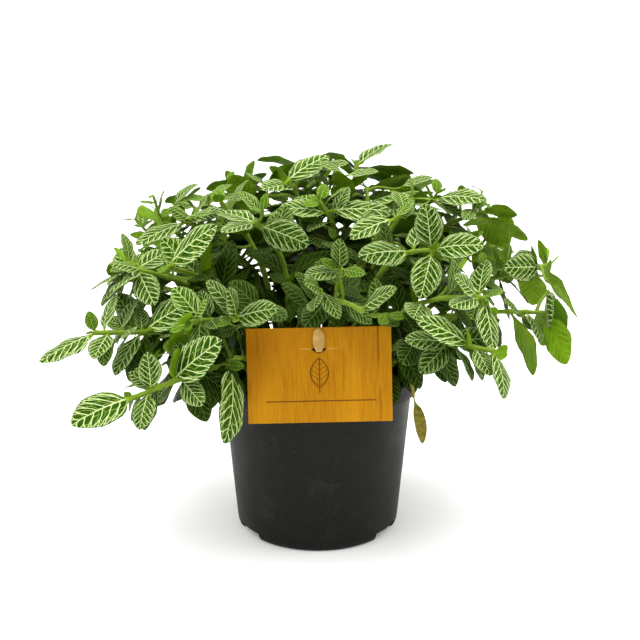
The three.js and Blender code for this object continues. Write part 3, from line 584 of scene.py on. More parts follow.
class StemLine:
    """A stem's centre line: a cubic curve from its root to its tip, measured by arc length."""

    def __init__(self, root, lift, tip, aim, lead):
        self.corners = (root, root + lift, tip - aim * lead, tip)
        self.points = self.at(np.arange(STEM_STEPS + 1) / STEM_STEPS)
        steps = np.linalg.norm(np.diff(self.points, axis=0), axis=1)
        self.reached = np.concatenate(([0.0], np.cumsum(steps)))
        self.length = self.reached[-1]

    def at(self, t):
        t = np.asarray(t, float)[..., None]
        u = 1 - t
        p, q, r, s = self.corners
        return p * u**3 + q * (3 * u * u * t) + r * (3 * u * t * t) + s * t**3

    def slope(self, t):
        u = 1 - t
        p, q, r, s = self.corners
        return unit((q - p) * (3 * u * u) + (r - q) * (6 * u * t) + (s - r) * (3 * t * t))

    def back(self, distance):
        """The curve's parameter at a distance back from the tip."""
        want = max(0.0, self.length - distance)
        return float(np.interp(want, self.reached, np.arange(STEM_STEPS + 1) / STEM_STEPS))


def outline(share):
    """Half a blade's width at a share of its length, as a share of its widest."""
    share = np.asarray(share, float)
    t = np.clip((share - PETIOLE_SHARE) / (1 - PETIOLE_SHARE), 0, 1)
    width = np.clip(np.sin(math.pi * t**OUTLINE_SKEW), 0, None) ** OUTLINE_FULLNESS
    width = np.where(share < 0.2, np.maximum(PETIOLE_WIDTH, width), width)
    return np.where(share >= 1, 0.0, width)


class Leaf:
    """A leaf's surface: an arched midrib with a blade that cups or folds away from it."""

    def __init__(self, base, along, face, length, half, bend, cup, shoot):
        self.base, self.along, self.face = base, along, face
        self.length, self.half, self.cup, self.shoot = length, half, cup, shoot
        self.across = np.cross(along, face)
        self.bend = math.radians(bend)
        self.age = 1.0
        self.wanted = length
        self.dry = 0.0
        self.shade = 0.0
        self.by_hand = False

    def points(self, share, side):
        start = -self.bend / 2
        turn = start + self.bend * share
        run = self.length * (np.sin(turn) - math.sin(start)) / self.bend
        drop = self.length * (math.cos(start) - np.cos(turn)) / self.bend
        width = self.half * outline(share)
        lift = self.cup * np.abs(side) ** CUP_POWER * width
        return (
            self.base
            + np.outer(run, self.along)
            - np.outer(drop, self.face)
            + np.outer(side * width, self.across)
            + np.outer(lift * np.cos(turn), self.face)
            + np.outer(lift * np.sin(turn), self.along)
        )

    def samples(self):
        """Shares and points about 3 mm apart over the blade."""
        rows = max(4, round(self.length / 3.2))
        shares, sides = [], []
        for i in range(1, rows + 1):
            share = i / rows
            columns = max(1, math.ceil(self.half * float(outline(share)) / 3.4))
            for j in range(-columns, columns + 1):
                shares.append(share)
                sides.append(j / columns)
        shares = np.array(shares)
        return shares, self.points(shares, np.array(sides))


def inner_wall_radius(z):
    """The inner radius of the pot's wall at a height."""
    wall_height = POT_HEIGHT - RIM_DEPTH
    return WALL_FOOT_RADIUS + (WALL_TOP_RADIUS - WALL_FOOT_RADIUS) * z / wall_height - POT_WALL


def card_y(z):
    """The card's middle plane leans back over the rim."""
    front = -(RIM_RADIUS + GAP + CARD_THICKNESS / 2)
    return front + (z - POT_HEIGHT) * math.tan(math.radians(CARD_LEAN))


def card_edge_seen(rise):
    """How high the viewer sees a level line of the card, along the view's own upright."""
    z = CARD_BOTTOM + rise * math.cos(math.radians(CARD_LEAN))
    return float(vec(0, card_y(z), z) @ VIEW_UP)


CARD_SEEN = (card_edge_seen(0), card_edge_seen(CARD_HEIGHT))


def in_card_space(p, room):
    """True near the card, and near the peg's stake behind it."""
    x, y, z = p[..., 0], p[..., 1], p[..., 2]
    height = (z > CARD_BOTTOM - room) & (z < CARD_BOTTOM + CARD_HEIGHT + room)
    card = (np.abs(x - CARD_CENTRE_X) < CARD_WIDTH / 2 + room) & (np.abs(y - card_y(z)) < room)
    behind = (y > card_y(z)) & (y < PEG_THICKNESS - STAKE_RADIUS + room)
    stake = behind & (np.abs(x - CARD_CENTRE_X) < STAKE_WIDTH / 2 + room)
    return height & (card | stake)


def covers_card(p):
    """True where a leaf would hide the card from the viewer."""
    rise = p @ VIEW_UP
    low, high = CARD_SEEN
    before = (p[..., 1] < card_y(p[..., 2])) & (np.abs(p[..., 0] - CARD_CENTRE_X) < CARD_WIDTH / 2)
    return before & (rise > low) & (rise < high)


def in_hardware(p):
    """True in the pot, the card or the peg, and where a leaf would hide the card."""
    radius = np.hypot(p[..., 0], p[..., 1])
    z = p[..., 2]
    near_wall = (radius > LEAF_INSIDE) | (z < SOIL_LEVEL + SURFACE_CLEAR)
    pot = (z < POT_HEIGHT + POT_CLEAR) & (radius < RIM_RADIUS + SURFACE_CLEAR) & near_wall
    return pot | in_card_space(p, CARD_CLEAR) | covers_card(p)


def touches_rim_or_card(p):
    """True where a stem's line would run into the rim or the card."""
    low = p[..., 2] < POT_HEIGHT + STEM_RIM_CLEAR
    rim = low & (np.hypot(p[..., 0], p[..., 1]) > STEM_INSIDE)
    return rim | in_card_space(p, STEM_CARD_CLEAR)


def in_envelope(p):
    """True inside the flat-topped dome that the whole plant fills."""
    x, y, z = (np.abs((p - DOME_CENTRE) / DOME_REACH) ** DOME_POWER).T
    return (x + y + z < 1) & (p[..., 1] > DOME_FRONT)


def seen(points):
    """Pixel places in the front view, and the distance towards the viewer in millimetres."""
    from_target = points - VIEW_TARGET
    toward = from_target @ VIEW_TOWARD
    zoom = VIEW_ZOOM / (VIEW_DISTANCE - toward)
    across = PICTURE / 2 + from_target @ VIEW_RIGHT * zoom
    down = PICTURE / 2 - from_target @ VIEW_UP * zoom
    return np.stack((across, down, toward), axis=1)


def place_seen(across, down, toward):
    """The point that shows at a place in the front view."""
    size = (VIEW_DISTANCE - toward) / VIEW_ZOOM
    level = VIEW_RIGHT * (across - PICTURE / 2) + VIEW_UP * (PICTURE / 2 - down)
    return VIEW_TARGET + level * size + VIEW_TOWARD * toward


def nearest_square(points, others):
    """The square of the least distance between two sets of points."""
    return ((points[:, None] - others[None]) ** 2).sum(axis=2).min()


class Group:
    """Points that are already placed, with their owner and their bounding sphere."""

    def __init__(self, shares, points, owner, is_stem):
        self.shares, self.points, self.owner, self.is_stem = shares, points, owner, is_stem
        self.centre = points.mean(axis=0)
        self.radius = float(np.linalg.norm(points - self.centre, axis=1).max())

    def beside(self, leaf, joint_square):
        """The points that a leaf on the same stem has to keep clear of."""
        if self.is_stem:
            return self.points[((self.points - leaf.base) ** 2).sum(axis=1) > joint_square]
        return self.points[self.shares > OWN_SHARE]


class Plant:
    """The stems and leaves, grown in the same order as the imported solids."""

    def __init__(self):
        self.placed = []
        self.draws = Draws(GROWTH_SEED)
        self.lines = {name: self.grow_stem(name) for name in SHOOTS}
        self.leaves = {name: [] for name in SHOOTS}
        self.sprigs = {name: [] for name in SHOOTS}
        self.withered = withered_leaf()
        self.add_group(*self.withered.samples(), WITHERED_STEM, False)
        for name in SHOOTS:
            for row in SET_LEAVES.get(name, ()):
                self.grow_set_leaf(name, row)
        for name in SHOOTS:
            self.grow_pairs(name)
        self.grow_twigs()
        self.fill_out()
        self.shade_leaves()

    def shade_leaves(self):
        """Marks the painted shade of leaves that hang behind others, 0 outside to 1 deep inside."""
        leaves = [leaf for row in self.leaves.values() for leaf in row]
        middles = np.array([leaf.base + leaf.along * (leaf.length / 2) for leaf in leaves])
        cover = np.array([leaf.length**2 for leaf in leaves])
        spots = seen(middles)
        x, y, half_width, half_height = HOLLOW
        hollow = np.hypot((spots[:, 0] - x) / half_width, (spots[:, 1] - y) / half_height) < 1
        for leaf, middle, is_hollow in zip(leaves, middles, hollow):
            outward = unit(middle - SHADE_HEART)
            runs = middles - middle
            ahead = runs @ outward
            aside = np.sqrt(np.maximum((runs**2).sum(axis=1) - ahead**2, 0))
            between = (ahead > SHADE_NEAR) & (ahead < SHADE_FAR)
            over = between & (aside < ranged(SHADE_CONE, ahead))
            shade = cover[over].sum() / SHADE_COVER
            if leaf.by_hand:
                shade *= SET_SHADE
            if is_hollow and middle[1] < HOLLOW_BACK:
                shade += SET_HOLLOW_SHADE if leaf.by_hand else HOLLOW_SHADE
            leaf.shade = min(1.0, shade)

    def add_group(self, shares, points, owner, is_stem):
        self.placed.append(Group(shares, points, owner, is_stem))

    def add_stem(self, line, owner):
        self.add_group(np.full(STEM_STEPS + 1, -1.0), line.points, owner, True)

    def grow_stem(self, name):
        """A stem's line, with its root moved until the stem is clear of those before it."""
        azimuth, reach, height, turn, pitch = SHOOTS[name][:5]
        tip = bearing(azimuth) * reach
        tip[2] = height
        aim = bearing(azimuth + turn, pitch)
        others = np.vstack([g.points for g in self.placed]) if self.placed else None
        best_room, best = None, None
        for shift, swing in itertools.product(ROOT_SHIFTS, ROOT_TURNS):
            outward = bearing(azimuth + swing)
            root = outward * min(ROOT_LIMIT, ranged(ROOT_REACH, reach) + shift)
            root[2] = SOIL_LEVEL - ROOT_DEPTH
            span = float(np.linalg.norm(root - tip))
            lift = SKY * (span * STEM_LIFT) + outward * (span * STEM_LEAN)
            line = StemLine(root, lift, tip, aim, span * STEM_LEAD)
            room = AMPLE_ROOM
            if others is not None:
                gaps = np.linalg.norm(line.points[:, None] - others[None], axis=2)
                room = min(room, float(gaps.min()))
            if touches_rim_or_card(line.points).any():
                room -= STEM_APART
            if best is None or (room > best_room + 1e-9 and best_room < STEM_APART):
                best_room, best = room, line
            if best_room >= STEM_APART:
                break
        self.add_stem(best, name)
        return best

    def is_clear(self, leaf, shares, points, stem_limit=STEM_CLEAR, leaf_limit=LEAF_CLEAR):
        """True for a leaf that keeps its distance from all that is placed."""
        if in_hardware(points[shares > POT_SHARE]).any():
            return False
        centre = points.mean(axis=0)
        radius = float(np.linalg.norm(points - centre, axis=1).max())
        blade = points[shares > OWN_SHARE]
        for group in self.placed:
            if math.dist(group.centre, centre) >= group.radius + radius + SPHERE_CLEAR:
                continue
            own = group.owner == leaf.shoot
            others = group.beside(leaf, JOINT_SQUARE) if own else group.points
            mine = blade if own else points
            if not len(others) or not len(mine):
                continue
            limit = stem_limit if group.is_stem else leaf_limit
            if nearest_square(mine, others) < limit * limit:
                return False
        return True

    def place(self, make, test=None, moves=MOVES):
        """Tries the moves in turn and keeps the first leaf that is clear."""
        for shrink, lift, swing in itertools.product(*moves):
            leaf = make(swing, lift, shrink)
            shares, points = leaf.samples()
            if (test or self.is_clear)(leaf, shares, points):
                self.leaves[leaf.shoot].append(leaf)
                self.add_group(shares, points, leaf.shoot, False)
                return leaf
        return None

    def grow_set_leaf(self, name, row):
        line = self.lines[name]
        back, *run, turn = row
        leaf = self.set_leaf(name, line.at(line.back(back)), run, turn)
        if leaf:
            youngest, shortest, by_length, by_back = SET_AGE
            age = (leaf.wanted - shortest) / by_length + back / by_back
            leaf.age = min(1.0, max(youngest, age))

    def grow_twigs(self):
        """Twigs that close the outline, for the looks alone."""
        youngest, shortest, by_length = TWIG_AGE
        for name, back, end, rows in TWIGS:
            line = self.lines[name]
            base, tip = line.at(line.back(back)), place_seen(*end)
            run = tip - base
            reach = float(np.linalg.norm(run))
            rise = SKY * (0.25 * reach)
            twig = StemLine(base, run * 0.4 + rise, tip, unit(run + rise), SPRIG_LEAD * reach)
            self.add_stem(twig, name)
            self.sprigs[name].append(twig)
            for *leaf_run, turn in rows:
                leaf = self.set_leaf(name, tip, leaf_run, turn, self.is_free)
                if leaf:
                    leaf.age = min(1.0, max(youngest, (leaf.wanted - shortest) / by_length))

    def is_free(self, leaf, shares, points):
        """True for a leaf on a twig that is clear and inside the box."""
        if (points < BOX_LOW).any() or (points > BOX_HIGH).any():
            return False
        return self.is_clear(leaf, shares, points, TWIG_STEM_CLEAR, TWIG_LEAF_CLEAR)

    def set_leaf(self, name, base, run, turn, test=None):
        """A leaf that runs to the right, up and towards the viewer by the given millimetres."""
        right, up, toward = run
        arch, tint = self.draws.next(), self.draws.next()
        run = VIEW_RIGHT * right + VIEW_UP * up + VIEW_TOWARD * toward
        length = float(np.linalg.norm(run))
        along = run / length
        front = square_to(VIEW_TOWARD, along)
        side = unit(np.cross(along, front))
        if side[2] <= 0:
            side = -side
        face = front * math.cos(math.radians(turn)) + side * math.sin(math.radians(turn))

        def make(swing, lift, shrink):
            swung = spun(along, face, swing * SET_SWING)
            hinge = unit(np.cross(swung, face))
            lifted, faced = (spun(each, hinge, lift * SET_LIFT) for each in (swung, face))
            full = length * shrink
            bend, cup = ranged(SET_BEND, arch), ranged(SET_CUP, tint)
            return Leaf(base, lifted, faced, full, full * LEAF_RATIO, bend, cup, name)

        leaf = self.place(make, test)
        if leaf:
            leaf.by_hand = True
            leaf.wanted = length
        return leaf

    def grow_pairs(self, name):
        """Opposite pairs, each turned a quarter from the one before it."""
        line = self.lines[name]
        roll, size, pairs = SHOOTS[name][5:]
        set_by_hand = SET_LEAVES.get(name, ())
        first = 1 if set_by_hand else 0
        back = max(row[0] for row in set_by_hand) + FIRST_SHARE * size if first else FIRST_BACK
        for i in range(first, first + pairs):
            if line.length - back < BARE_FOOT:
                break
            self.grow_pair(name, line, back, i, roll, size, PAIR_AGES[i], self.draws)
            step = PAIR_SPACING[i] * size / USUAL_LENGTH
            back += step * ranged(PAIR_STEP, self.draws.next())

    def grow_pair(self, name, line, back, i, roll, size, age, draws, test=None, moves=MOVES):
        """Two opposite leaves at a distance back from a line's tip. Returns how many found room."""
        t = line.back(back)
        found = 0
        for side in (1, -1):
            chances = [draws.next() for _ in range(4)]
            make = self.pair_maker(name, line.at(t), line.slope(t), i, side, roll, size, chances)
            leaf = self.place(make, test, moves)
            if leaf:
                leaf.age = age
                found += 1
        return found

    def fill_out(self):
        """More leaves down the stems and small ones at their tips, for the looks alone.

        They keep out of the openings and don't cover the listed leaves.
        """
        draws = Draws(LOOKS_SEED)
        self.shown = np.full((CELLS, CELLS), NOTHING)
        for leaf in itertools.chain(*self.leaves.values()):
            if leaf.by_hand:
                self.cover(leaf.samples()[1])
        self.cover_card()
        for name in SHOOTS:
            self.start_fill(name)
            self.fill_tip(name, draws)
            high = SHOOTS[name][2] > HIGH_TIP
            for side, back in enumerate(TOP_SPRIG_BACKS if high else SPRIG_BACKS):
                self.grow_sprig(name, back + SPRIG_SWAY * draws.next(), side, draws)
            self.fill_stem(name, draws)

    def cover(self, points):
        """Notes how near the viewer these points are, in the cells where they show."""
        spots = seen(points)
        np.maximum.at(self.shown, tuple((spots[:, :2] / SPOT).astype(int).T), spots[:, 2])

    def cover_card(self):
        """Keeps the filling leaves from the front of the card."""
        across = np.linspace(-CARD_WIDTH / 2 - 2, CARD_WIDTH / 2 + 2, 80)
        up = np.linspace(CARD_BOTTOM, CARD_BOTTOM + CARD_HEIGHT + 1, 60)
        x, z = (grid.ravel() for grid in np.meshgrid(across + CARD_CENTRE_X, up))
        self.cover(np.stack((x, card_y(z), z), axis=1))

    def grow_sprig(self, name, back, side, draws):
        """A short side stem with a leaf pair or two, dropped if it has no room."""
        chances = [draws.next() for _ in range(12)]
        line = self.lines[name]
        if back > line.length - SPRIG_FOOT:
            return
        t = line.back(back)
        base, stemward = line.at(t), line.slope(t)
        level = unit(np.cross(stemward, SKY) + vec(1e-4, 0, 0))
        out = spun(level * (1 if side % 2 else -1), stemward, (chances[0] - 0.5) * SPRIG_TURN)
        aim = unit(stemward * 0.5 + out * 0.6 + SKY * ranged(SPRIG_RISE, chances[1]))
        reach = ranged(SPRIG_REACH, chances[2])
        tip = base + (out * 0.55 + aim * 0.6) * reach
        sprig = StemLine(base, out * (0.3 * reach), tip, aim, SPRIG_LEAD * reach)
        far = sprig.points[SPRIG_FREE:]
        if not in_envelope(far).all() or in_hardware(far).any():
            return
        for tree, limit in self.others:
            if any(tree.find(point)[2] < limit + 0.4 for point in far[::4].tolist()):
                return
        for group in self.placed:
            if group.owner == name and not group.is_stem:
                own = group.points[group.shares > 0.3]
                if len(own) and nearest_square(far, own) < SPRIG_CLEAR**2:
                    return
        self.add_stem(sprig, name)
        size = SHOOTS[name][6] * SPRIG_LEAF
        roll = 360 * chances[3]
        found = 0
        for i, (place, share_back, growth) in enumerate(SPRIG_PAIRS):
            found += self.grow_pair(
                name, sprig, place + share_back * reach, i, roll, size * (0.9 + growth * 0.3),
                0.1 + growth * 0.7, draws, self.fits, FILL_MOVES,
            )
        if found < 2:
            del self.placed[len(self.placed) - found - 1:]
            del self.leaves[name][len(self.leaves[name]) - found:]
            return
        self.sprigs[name].append(sprig)

    def fill_stem(self, name, draws):
        """Pairs all the way down a stem, grown up further back."""
        line = self.lines[name]
        size = SHOOTS[name][6]
        back = ranged(FILL_START, draws.next())
        roll = 360 * draws.next()
        while back < line.length - FILL_FOOT:
            grown = size * ranged(FILL_GROWN, min(1.0, back / FILL_GROWN_BACK))
            age = min(1.0, ranged(FILL_AGE, back))
            self.grow_pair(name, line, back, 2, roll, grown, age, draws, self.fits, FILL_MOVES)
            roll += 90
            back += ranged(FILL_SPACING, draws.next())

    def fill_tip(self, name, draws):
        """Two small pairs that still open at the tip."""
        line = self.lines[name]
        roll = 360 * draws.next()
        for i, (back, size) in enumerate(TIP_PAIRS):
            turned, age = roll + 90 * i, TIP_AGE * i
            self.grow_pair(name, line, back, 0, turned, size, age, draws, self.fits, TIP_MOVES)

    def start_fill(self, name):
        """Search trees of what is placed, apart from the stem's own leaves and line."""
        self.others = []
        for is_stem, limit in ((True, FILL_STEM_CLEAR), (False, FILL_LEAF_CLEAR)):
            kept = [g for g in self.placed if g.is_stem == is_stem and g.owner != name]
            points = np.vstack([g.points for g in kept])
            tree = kdtree.KDTree(len(points))
            for number, point in enumerate(points.tolist()):
                tree.insert(point, number)
            tree.balance()
            self.others.append((tree, limit))

    def fits(self, leaf, shares, points):
        """True for a leaf of the looks alone that is clear and covers nothing that should show."""
        few = leaf.points(FILL_SHARES, FILL_SIDES)
        if not in_envelope(few).all() or in_hardware(few[3:]).any():
            return False
        spots = seen(few)
        x, y, near = spots.T
        if (np.hypot(x[:, None] - OPENING_X, y[:, None] - OPENING_Y) < OPENING_RADIUS).any():
            return False
        (middle_x, middle_y, half_width, half_height), nearest = SHADED
        in_middle = (np.abs(x - middle_x) < half_width) & (np.abs(y - middle_y) < half_height)
        if (in_middle & (near > nearest)).any():
            return False
        hidden = self.shown[tuple(np.clip(spots[:, :2] / SPOT, 0, CELLS - 1).astype(int).T)]
        if ((hidden > NOTHING) & (near > hidden + 0.5)).sum() > 2:
            return False
        for tree, limit in self.others:
            if any(tree.find(point)[2] < limit for point in few.tolist()):
                return False
        mine = few[6:]
        for group in self.placed:
            if group.owner == leaf.shoot:
                others = group.beside(leaf, FILL_JOINT_SQUARE)
                if len(others) and nearest_square(mine, others) < FILL_LEAF_CLEAR**2:
                    return False
        return True

    def pair_maker(self, name, base, stemward, i, side, roll, size, chances):
        """The function that makes one leaf of a pair, by a move's swing, lift and shrink."""
        r1, r2, r3, r4 = chances
        level = np.cross(stemward, SKY)
        flat = unit(level) if np.linalg.norm(level) > 0.05 else vec(1, 0, 0)
        out = spun(flat * side, stemward, roll + 90 * i + (r1 - 0.5) * PAIR_SWAY)
        opening = PAIR_OPENING[i] + (r2 - 0.5) * OPENING_SWAY
        length = size * PAIR_SIZE[i] * ranged(PAIR_LENGTH, r3)
        sky = ranged(PAIR_SKY, r1)
        bend, cup = ranged(PAIR_BEND, r2), ranged(PAIR_CUP, r4)

        def make(swing, lift, shrink):
            opened = math.radians(opening + lift)
            outward = spun(out, stemward, swing)
            along = unit(stemward * math.cos(opened) + outward * math.sin(opened))
            square = stemward - along * (stemward @ along)
            upper = SKY - along * along[2]
            face = square_to(unit(square * (1 - sky) + upper * sky), along)
            full = length * shrink
            return Leaf(base, along, face, full, full * ranged(PAIR_RATIO, r4), bend, cup, name)

        return make


def withered_leaf():
    along = unit(vec(*WITHERED_ALONG))
    face = square_to(vec(0.4, -1, 0), along)
    base, half = vec(*WITHERED_BASE), WITHERED_LENGTH * WITHERED_RATIO
    leaf = Leaf(
        base, along, face, WITHERED_LENGTH, half, WITHERED_BEND, WITHERED_CUP, WITHERED_STEM,
    )
    leaf.dry = 1.0
    return leaf


def withered_stalk(line):
    """The curve of the withered leaf's stalk, as points."""
    start = line.at(line.back(WITHERED_BACK))
    end = vec(*WITHERED_BASE)
    over = start * 0.35 + end * 0.65
    over[2] = start[2] + WITHERED_RISE
    return StemLine(start, over - start, end, -SKY, WITHERED_LEAD).points


# Node trees

class Wire:
    """A value in a node tree. Arithmetic on it adds the nodes that work it out."""

    def __init__(self, tree, socket):
        self.tree, self.socket = tree, socket

    def math(self, operation, *others):
        values = dict(enumerate((self, *others)))
        return node(self.tree, "ShaderNodeMath", values, operation=operation)

    def __add__(self, other):
        return self.math("ADD", other)

    def __sub__(self, other):
        return self.math("SUBTRACT", other)

    def __mul__(self, other):
        return self.math("MULTIPLY", other)

    def __truediv__(self, other):
        return self.math("DIVIDE", other)

    def __pow__(self, other):
        return self.math("POWER", other)

    def above(self, other):
        return self.math("GREATER_THAN", other)

    def largest(self, other):
        return self.math("MAXIMUM", other)

    def smallest(self, other):
        return self.math("MINIMUM", other)

    def clamped(self):
        return self.largest(0.0).smallest(1.0)

    def size(self):
        return self.math("ABSOLUTE")

    def fraction(self):
        return self.math("FRACT")

    def sine(self):
        return self.math("SINE")

    def cosine(self):
        return self.math("COSINE")

    def rest(self):
        """One minus the value."""
        return node(self.tree, "ShaderNodeMath", {0: 1.0, 1: self}, operation="SUBTRACT")

    def ease(self, low, high, start=0.0, end=1.0):
        """Runs smoothly from start to end as the value goes from low to high."""
        values = dict(enumerate((self, low, high, start, end)))
        return node(self.tree, "ShaderNodeMapRange", values, interpolation_type="SMOOTHSTEP")

    def fade(self, low, high):
        """Runs smoothly from one to zero as the value goes from low to high."""
        return self.ease(low, high, 1.0, 0.0)


def plug(tree, slot, value):
    if isinstance(value, Wire):
        tree.links.new(value.socket, slot)
    else:
        slot.default_value = value


def node(tree, kind, inputs=None, output=0, **settings):
    """Adds a node, plugs its inputs by name or number, and returns one output as a Wire."""
    made = tree.nodes.new(kind)
    for key, value in settings.items():
        setattr(made, key, value)
    for key, value in (inputs or {}).items():
        plug(tree, made.inputs[key], value)
    return Wire(tree, made.outputs[output])


def split(wire):
    parts = wire.tree.nodes.new("ShaderNodeSeparateXYZ")
    plug(wire.tree, parts.inputs[0], wire)
    return [Wire(wire.tree, socket) for socket in parts.outputs]


def joined(tree, x, y, z):
    return node(tree, "ShaderNodeCombineXYZ", {0: x, 1: y, 2: z})


def vector_math(tree, operation, *values):
    return node(tree, "ShaderNodeVectorMath", dict(enumerate(values)), operation=operation)


def scaled(wire, factor):
    return node(wire.tree, "ShaderNodeVectorMath", {0: wire, "Scale": factor}, operation="SCALE")


def summed(tree, *vectors):
    total = vectors[0]
    for vector in vectors[1:]:
        total = vector_math(tree, "ADD", total, vector)
    return total


# Paints

def new_paint(name, **constants):
    """A material whose shader has these constant values. Returns it, its tree and its shader."""
    material = bpy.data.materials.new(name)
    material.use_nodes = True
    shader = material.node_tree.nodes["Principled BSDF"]
    for socket, value in constants.items():
        shader.inputs[socket.replace("_", " ")].default_value = value
    return material, material.node_tree, shader


def place_of(tree):
    return node(tree, "ShaderNodeTexCoord", output="Object")


def attribute(tree, name):
    return node(tree, "ShaderNodeAttribute", output="Vector", attribute_name=name)


def noise(tree, vector, scale, detail=2.0, roughness=0.5):
    inputs = {"Vector": vector, "Scale": scale, "Detail": detail, "Roughness": roughness}
    return node(tree, "ShaderNodeTexNoise", inputs, output="Fac")


def mixed(tree, factor, first, second):
    """A colour between two others. A plain colour is given as three numbers."""
    first, second = (c if isinstance(c, Wire) else (*c, 1.0) for c in (first, second))
    inputs = {0: factor, 6: first, 7: second}
    return node(tree, "ShaderNodeMix", inputs, output=2, data_type="RGBA")


def toned(colour, share):
    """A plain colour made darker or brighter."""
    return tuple(value * share for value in colour)


def coloured(tree, shader, colour):
    plug(tree, shader.inputs["Base Color"], colour)


def bumped(tree, shader, height, strength, distance):
    inputs = {"Height": height, "Strength": strength, "Distance": distance}
    plug(tree, shader.inputs["Normal"], node(tree, "ShaderNodeBump", inputs))


# The veins of a leaf, in leaf lengths: how far apart the side veins leave the midrib, how they
# slant and curve, how wide they and the midrib are, and how much thinner they get outwards
VEIN_PITCH = 0.14
VEIN_SLANT = 0.7
VEIN_CURVE = 2.0
VEIN_WAVER = 0.07
VEIN_WIDTH = 0.0078
RIB_WIDTH = 0.0145
VEIN_TAPER = 0.01


def vein_net(tree):
    """The veins of a leaf, drawn from its own measures in leaf lengths.

    Side veins leave the midrib in pairs, bend towards the tip and loop near the margin, and a
    net of small cells fills the rest.
    """
    across, share, side = split(attribute(tree, "blade"))
    # A leaf's seed, its age, and inner: its painted shade, by how deep it hangs inside the plant
    seed, age, inner = split(attribute(tree, "leaf"))
    spot = joined(tree, across + seed * 9.0, share, seed * 5.0)
    warp = noise(tree, spot, 6.0) - 0.5
    fine_warp = noise(tree, spot, 24.0) - 0.5
    out = (across + fine_warp * 0.012).size()
    to_margin = side.size()
    from_margin = to_margin.rest()
    # Where on the midrib the side vein through this place starts, and how far off that vein is
    start = share + warp * VEIN_WAVER - out * VEIN_SLANT - out * out * VEIN_CURVE
    offset = across.above(0.0) * 0.4 + seed * 3.0
    from_middle = ((start / VEIN_PITCH + offset).fraction() - 0.5).size()
    fork = to_margin.ease(0.4, 1.0, 0.0, 0.3)
    steepness = out * -1.5 + 0.84
    to_vein = ((from_middle * -1.0 + 0.5) - fork).size() * steepness * VEIN_PITCH
    secondary = (to_vein / (out * -VEIN_TAPER + VEIN_WIDTH)).fade(0.5, 1.3)
    midrib = (across.size() / (share * -VEIN_TAPER + RIB_WIDTH)).fade(0.7, 1.2)
    # Arches that join the side veins near the margin, then the small cells
    loop_place = from_middle * from_middle * 0.4 + 0.1
    loop = ((from_margin - loop_place).size() * 0.26).fade(0.002, 0.007)
    cells = joined(tree, across * 10.0 + seed * 31.0, start * 9.0, 0.0)
    cell_edge = node(
        tree, "ShaderNodeTexVoronoi", {"Vector": cells, "Scale": 1.0, "Randomness": 0.9},
        output="Distance", voronoi_dimensions="2D", feature="DISTANCE_TO_EDGE",
    )
    patchy = noise(tree, spot, 14.0).ease(0.3, 0.6, 0.45, 0.95)
    inside = from_margin.ease(0.02, 0.09)
    return {
        "veins": (secondary.largest(loop * 0.7) * inside).largest(midrib),
        "fine": cell_edge.fade(0.02, 0.075) * patchy * inside,
        "stalk": share.fade(0.1, 0.19),
        "midrib": midrib, "cell_edge": cell_edge, "age": age, "inner": inner, "spot": spot,
    }


def paint_upper(colours):
    """Upper face of a leaf: green cells in a pale net of veins, with a satin sheen, and painted
    shade where it hangs behind others.
    """
    material, tree, shader = new_paint("leaf_upper", Roughness=0.42, Specular_IOR_Level=0.035)
    net = vein_net(tree)
    mottle = noise(tree, net["spot"], 5.0, 3.0)
    young = net["age"].rest()
    deep = mixed(tree, mottle.ease(0.3, 0.7), colours.dark, toned(colours.dark, 1.5))
    cells = mixed(tree, young.ease(0.1, 0.9), deep, colours.fresh)
    pale = mixed(tree, young.ease(0.15, 0.75), colours.pale, colours.lime)
    netted = mixed(tree, net["fine"] * 0.8, cells, toned(colours.lime, 0.92))
    line = mixed(tree, net["veins"], netted, pale)
    stalk = mixed(tree, net["stalk"], line, colours.stem)
    # Painted shade: darker copies of the leaf's green and veins, mixed in by how deep the leaf
    # hangs
    drawn = net["veins"].largest(net["fine"] * 0.6)
    painted_shade_colour = mixed(tree, drawn * 0.7, toned(colours.dark, 0.5), toned(colours.lime, 0.3))
    coloured(tree, shader, mixed(tree, net["inner"], stalk, painted_shade_colour))
    quilt = net["cell_edge"].ease(0.0, 0.45)
    bumped(tree, shader, quilt - net["midrib"] * 0.6, 0.5, 0.0004)
    return material


def paint_under(colours):
    """Underside of a leaf: plain bright green with faint raised veins, and painted shade where it
    hangs behind others.
    """
    material, tree, shader = new_paint("leaf_under", Roughness=0.6, Specular_IOR_Level=0.05)
    net = vein_net(tree)
    mottle = noise(tree, net["spot"], 4.0, 3.0)
    plain = mixed(tree, mottle.ease(0.25, 0.75), colours.under, toned(colours.under, 0.6))
    drawn = net["veins"].largest(net["fine"] * 0.4)
    faint = mixed(tree, drawn * 0.62, plain, colours.lime)
    stalk = mixed(tree, net["stalk"].largest(net["midrib"] * 0.6), faint, colours.stem)
    # Painted shade: a darker copy of the underside green, mixed in by how deep the leaf hangs
    coloured(tree, shader, mixed(tree, net["inner"], stalk, toned(colours.under, 0.3)))
    bumped(tree, shader, net["veins"], 0.5, 0.00035)
    return material


def paint_stem(colours):
    """Stem: yellow-green, duller and woody near its root, brown where it is dry."""
    material, tree, shader = new_paint(
        "stem_skin", Roughness=0.6, Specular_IOR_Level=0.2, Sheen_Weight=0.08,
    )
    up, dry, _ = split(attribute(tree, "stalk"))
    place = place_of(tree)
    streak = noise(tree, place, 260.0, 3.0)
    skin = mixed(tree, up.ease(0.05, 0.6), colours.woody, colours.stem)
    skin = mixed(tree, streak.ease(0.35, 0.75) * 0.5, skin, toned(colours.stem, 0.6))
    coloured(tree, shader, mixed(tree, dry, skin, colours.dry))
    bumped(tree, shader, noise(tree, place, 900.0, 2.0), 0.4, 0.0002)
    return material


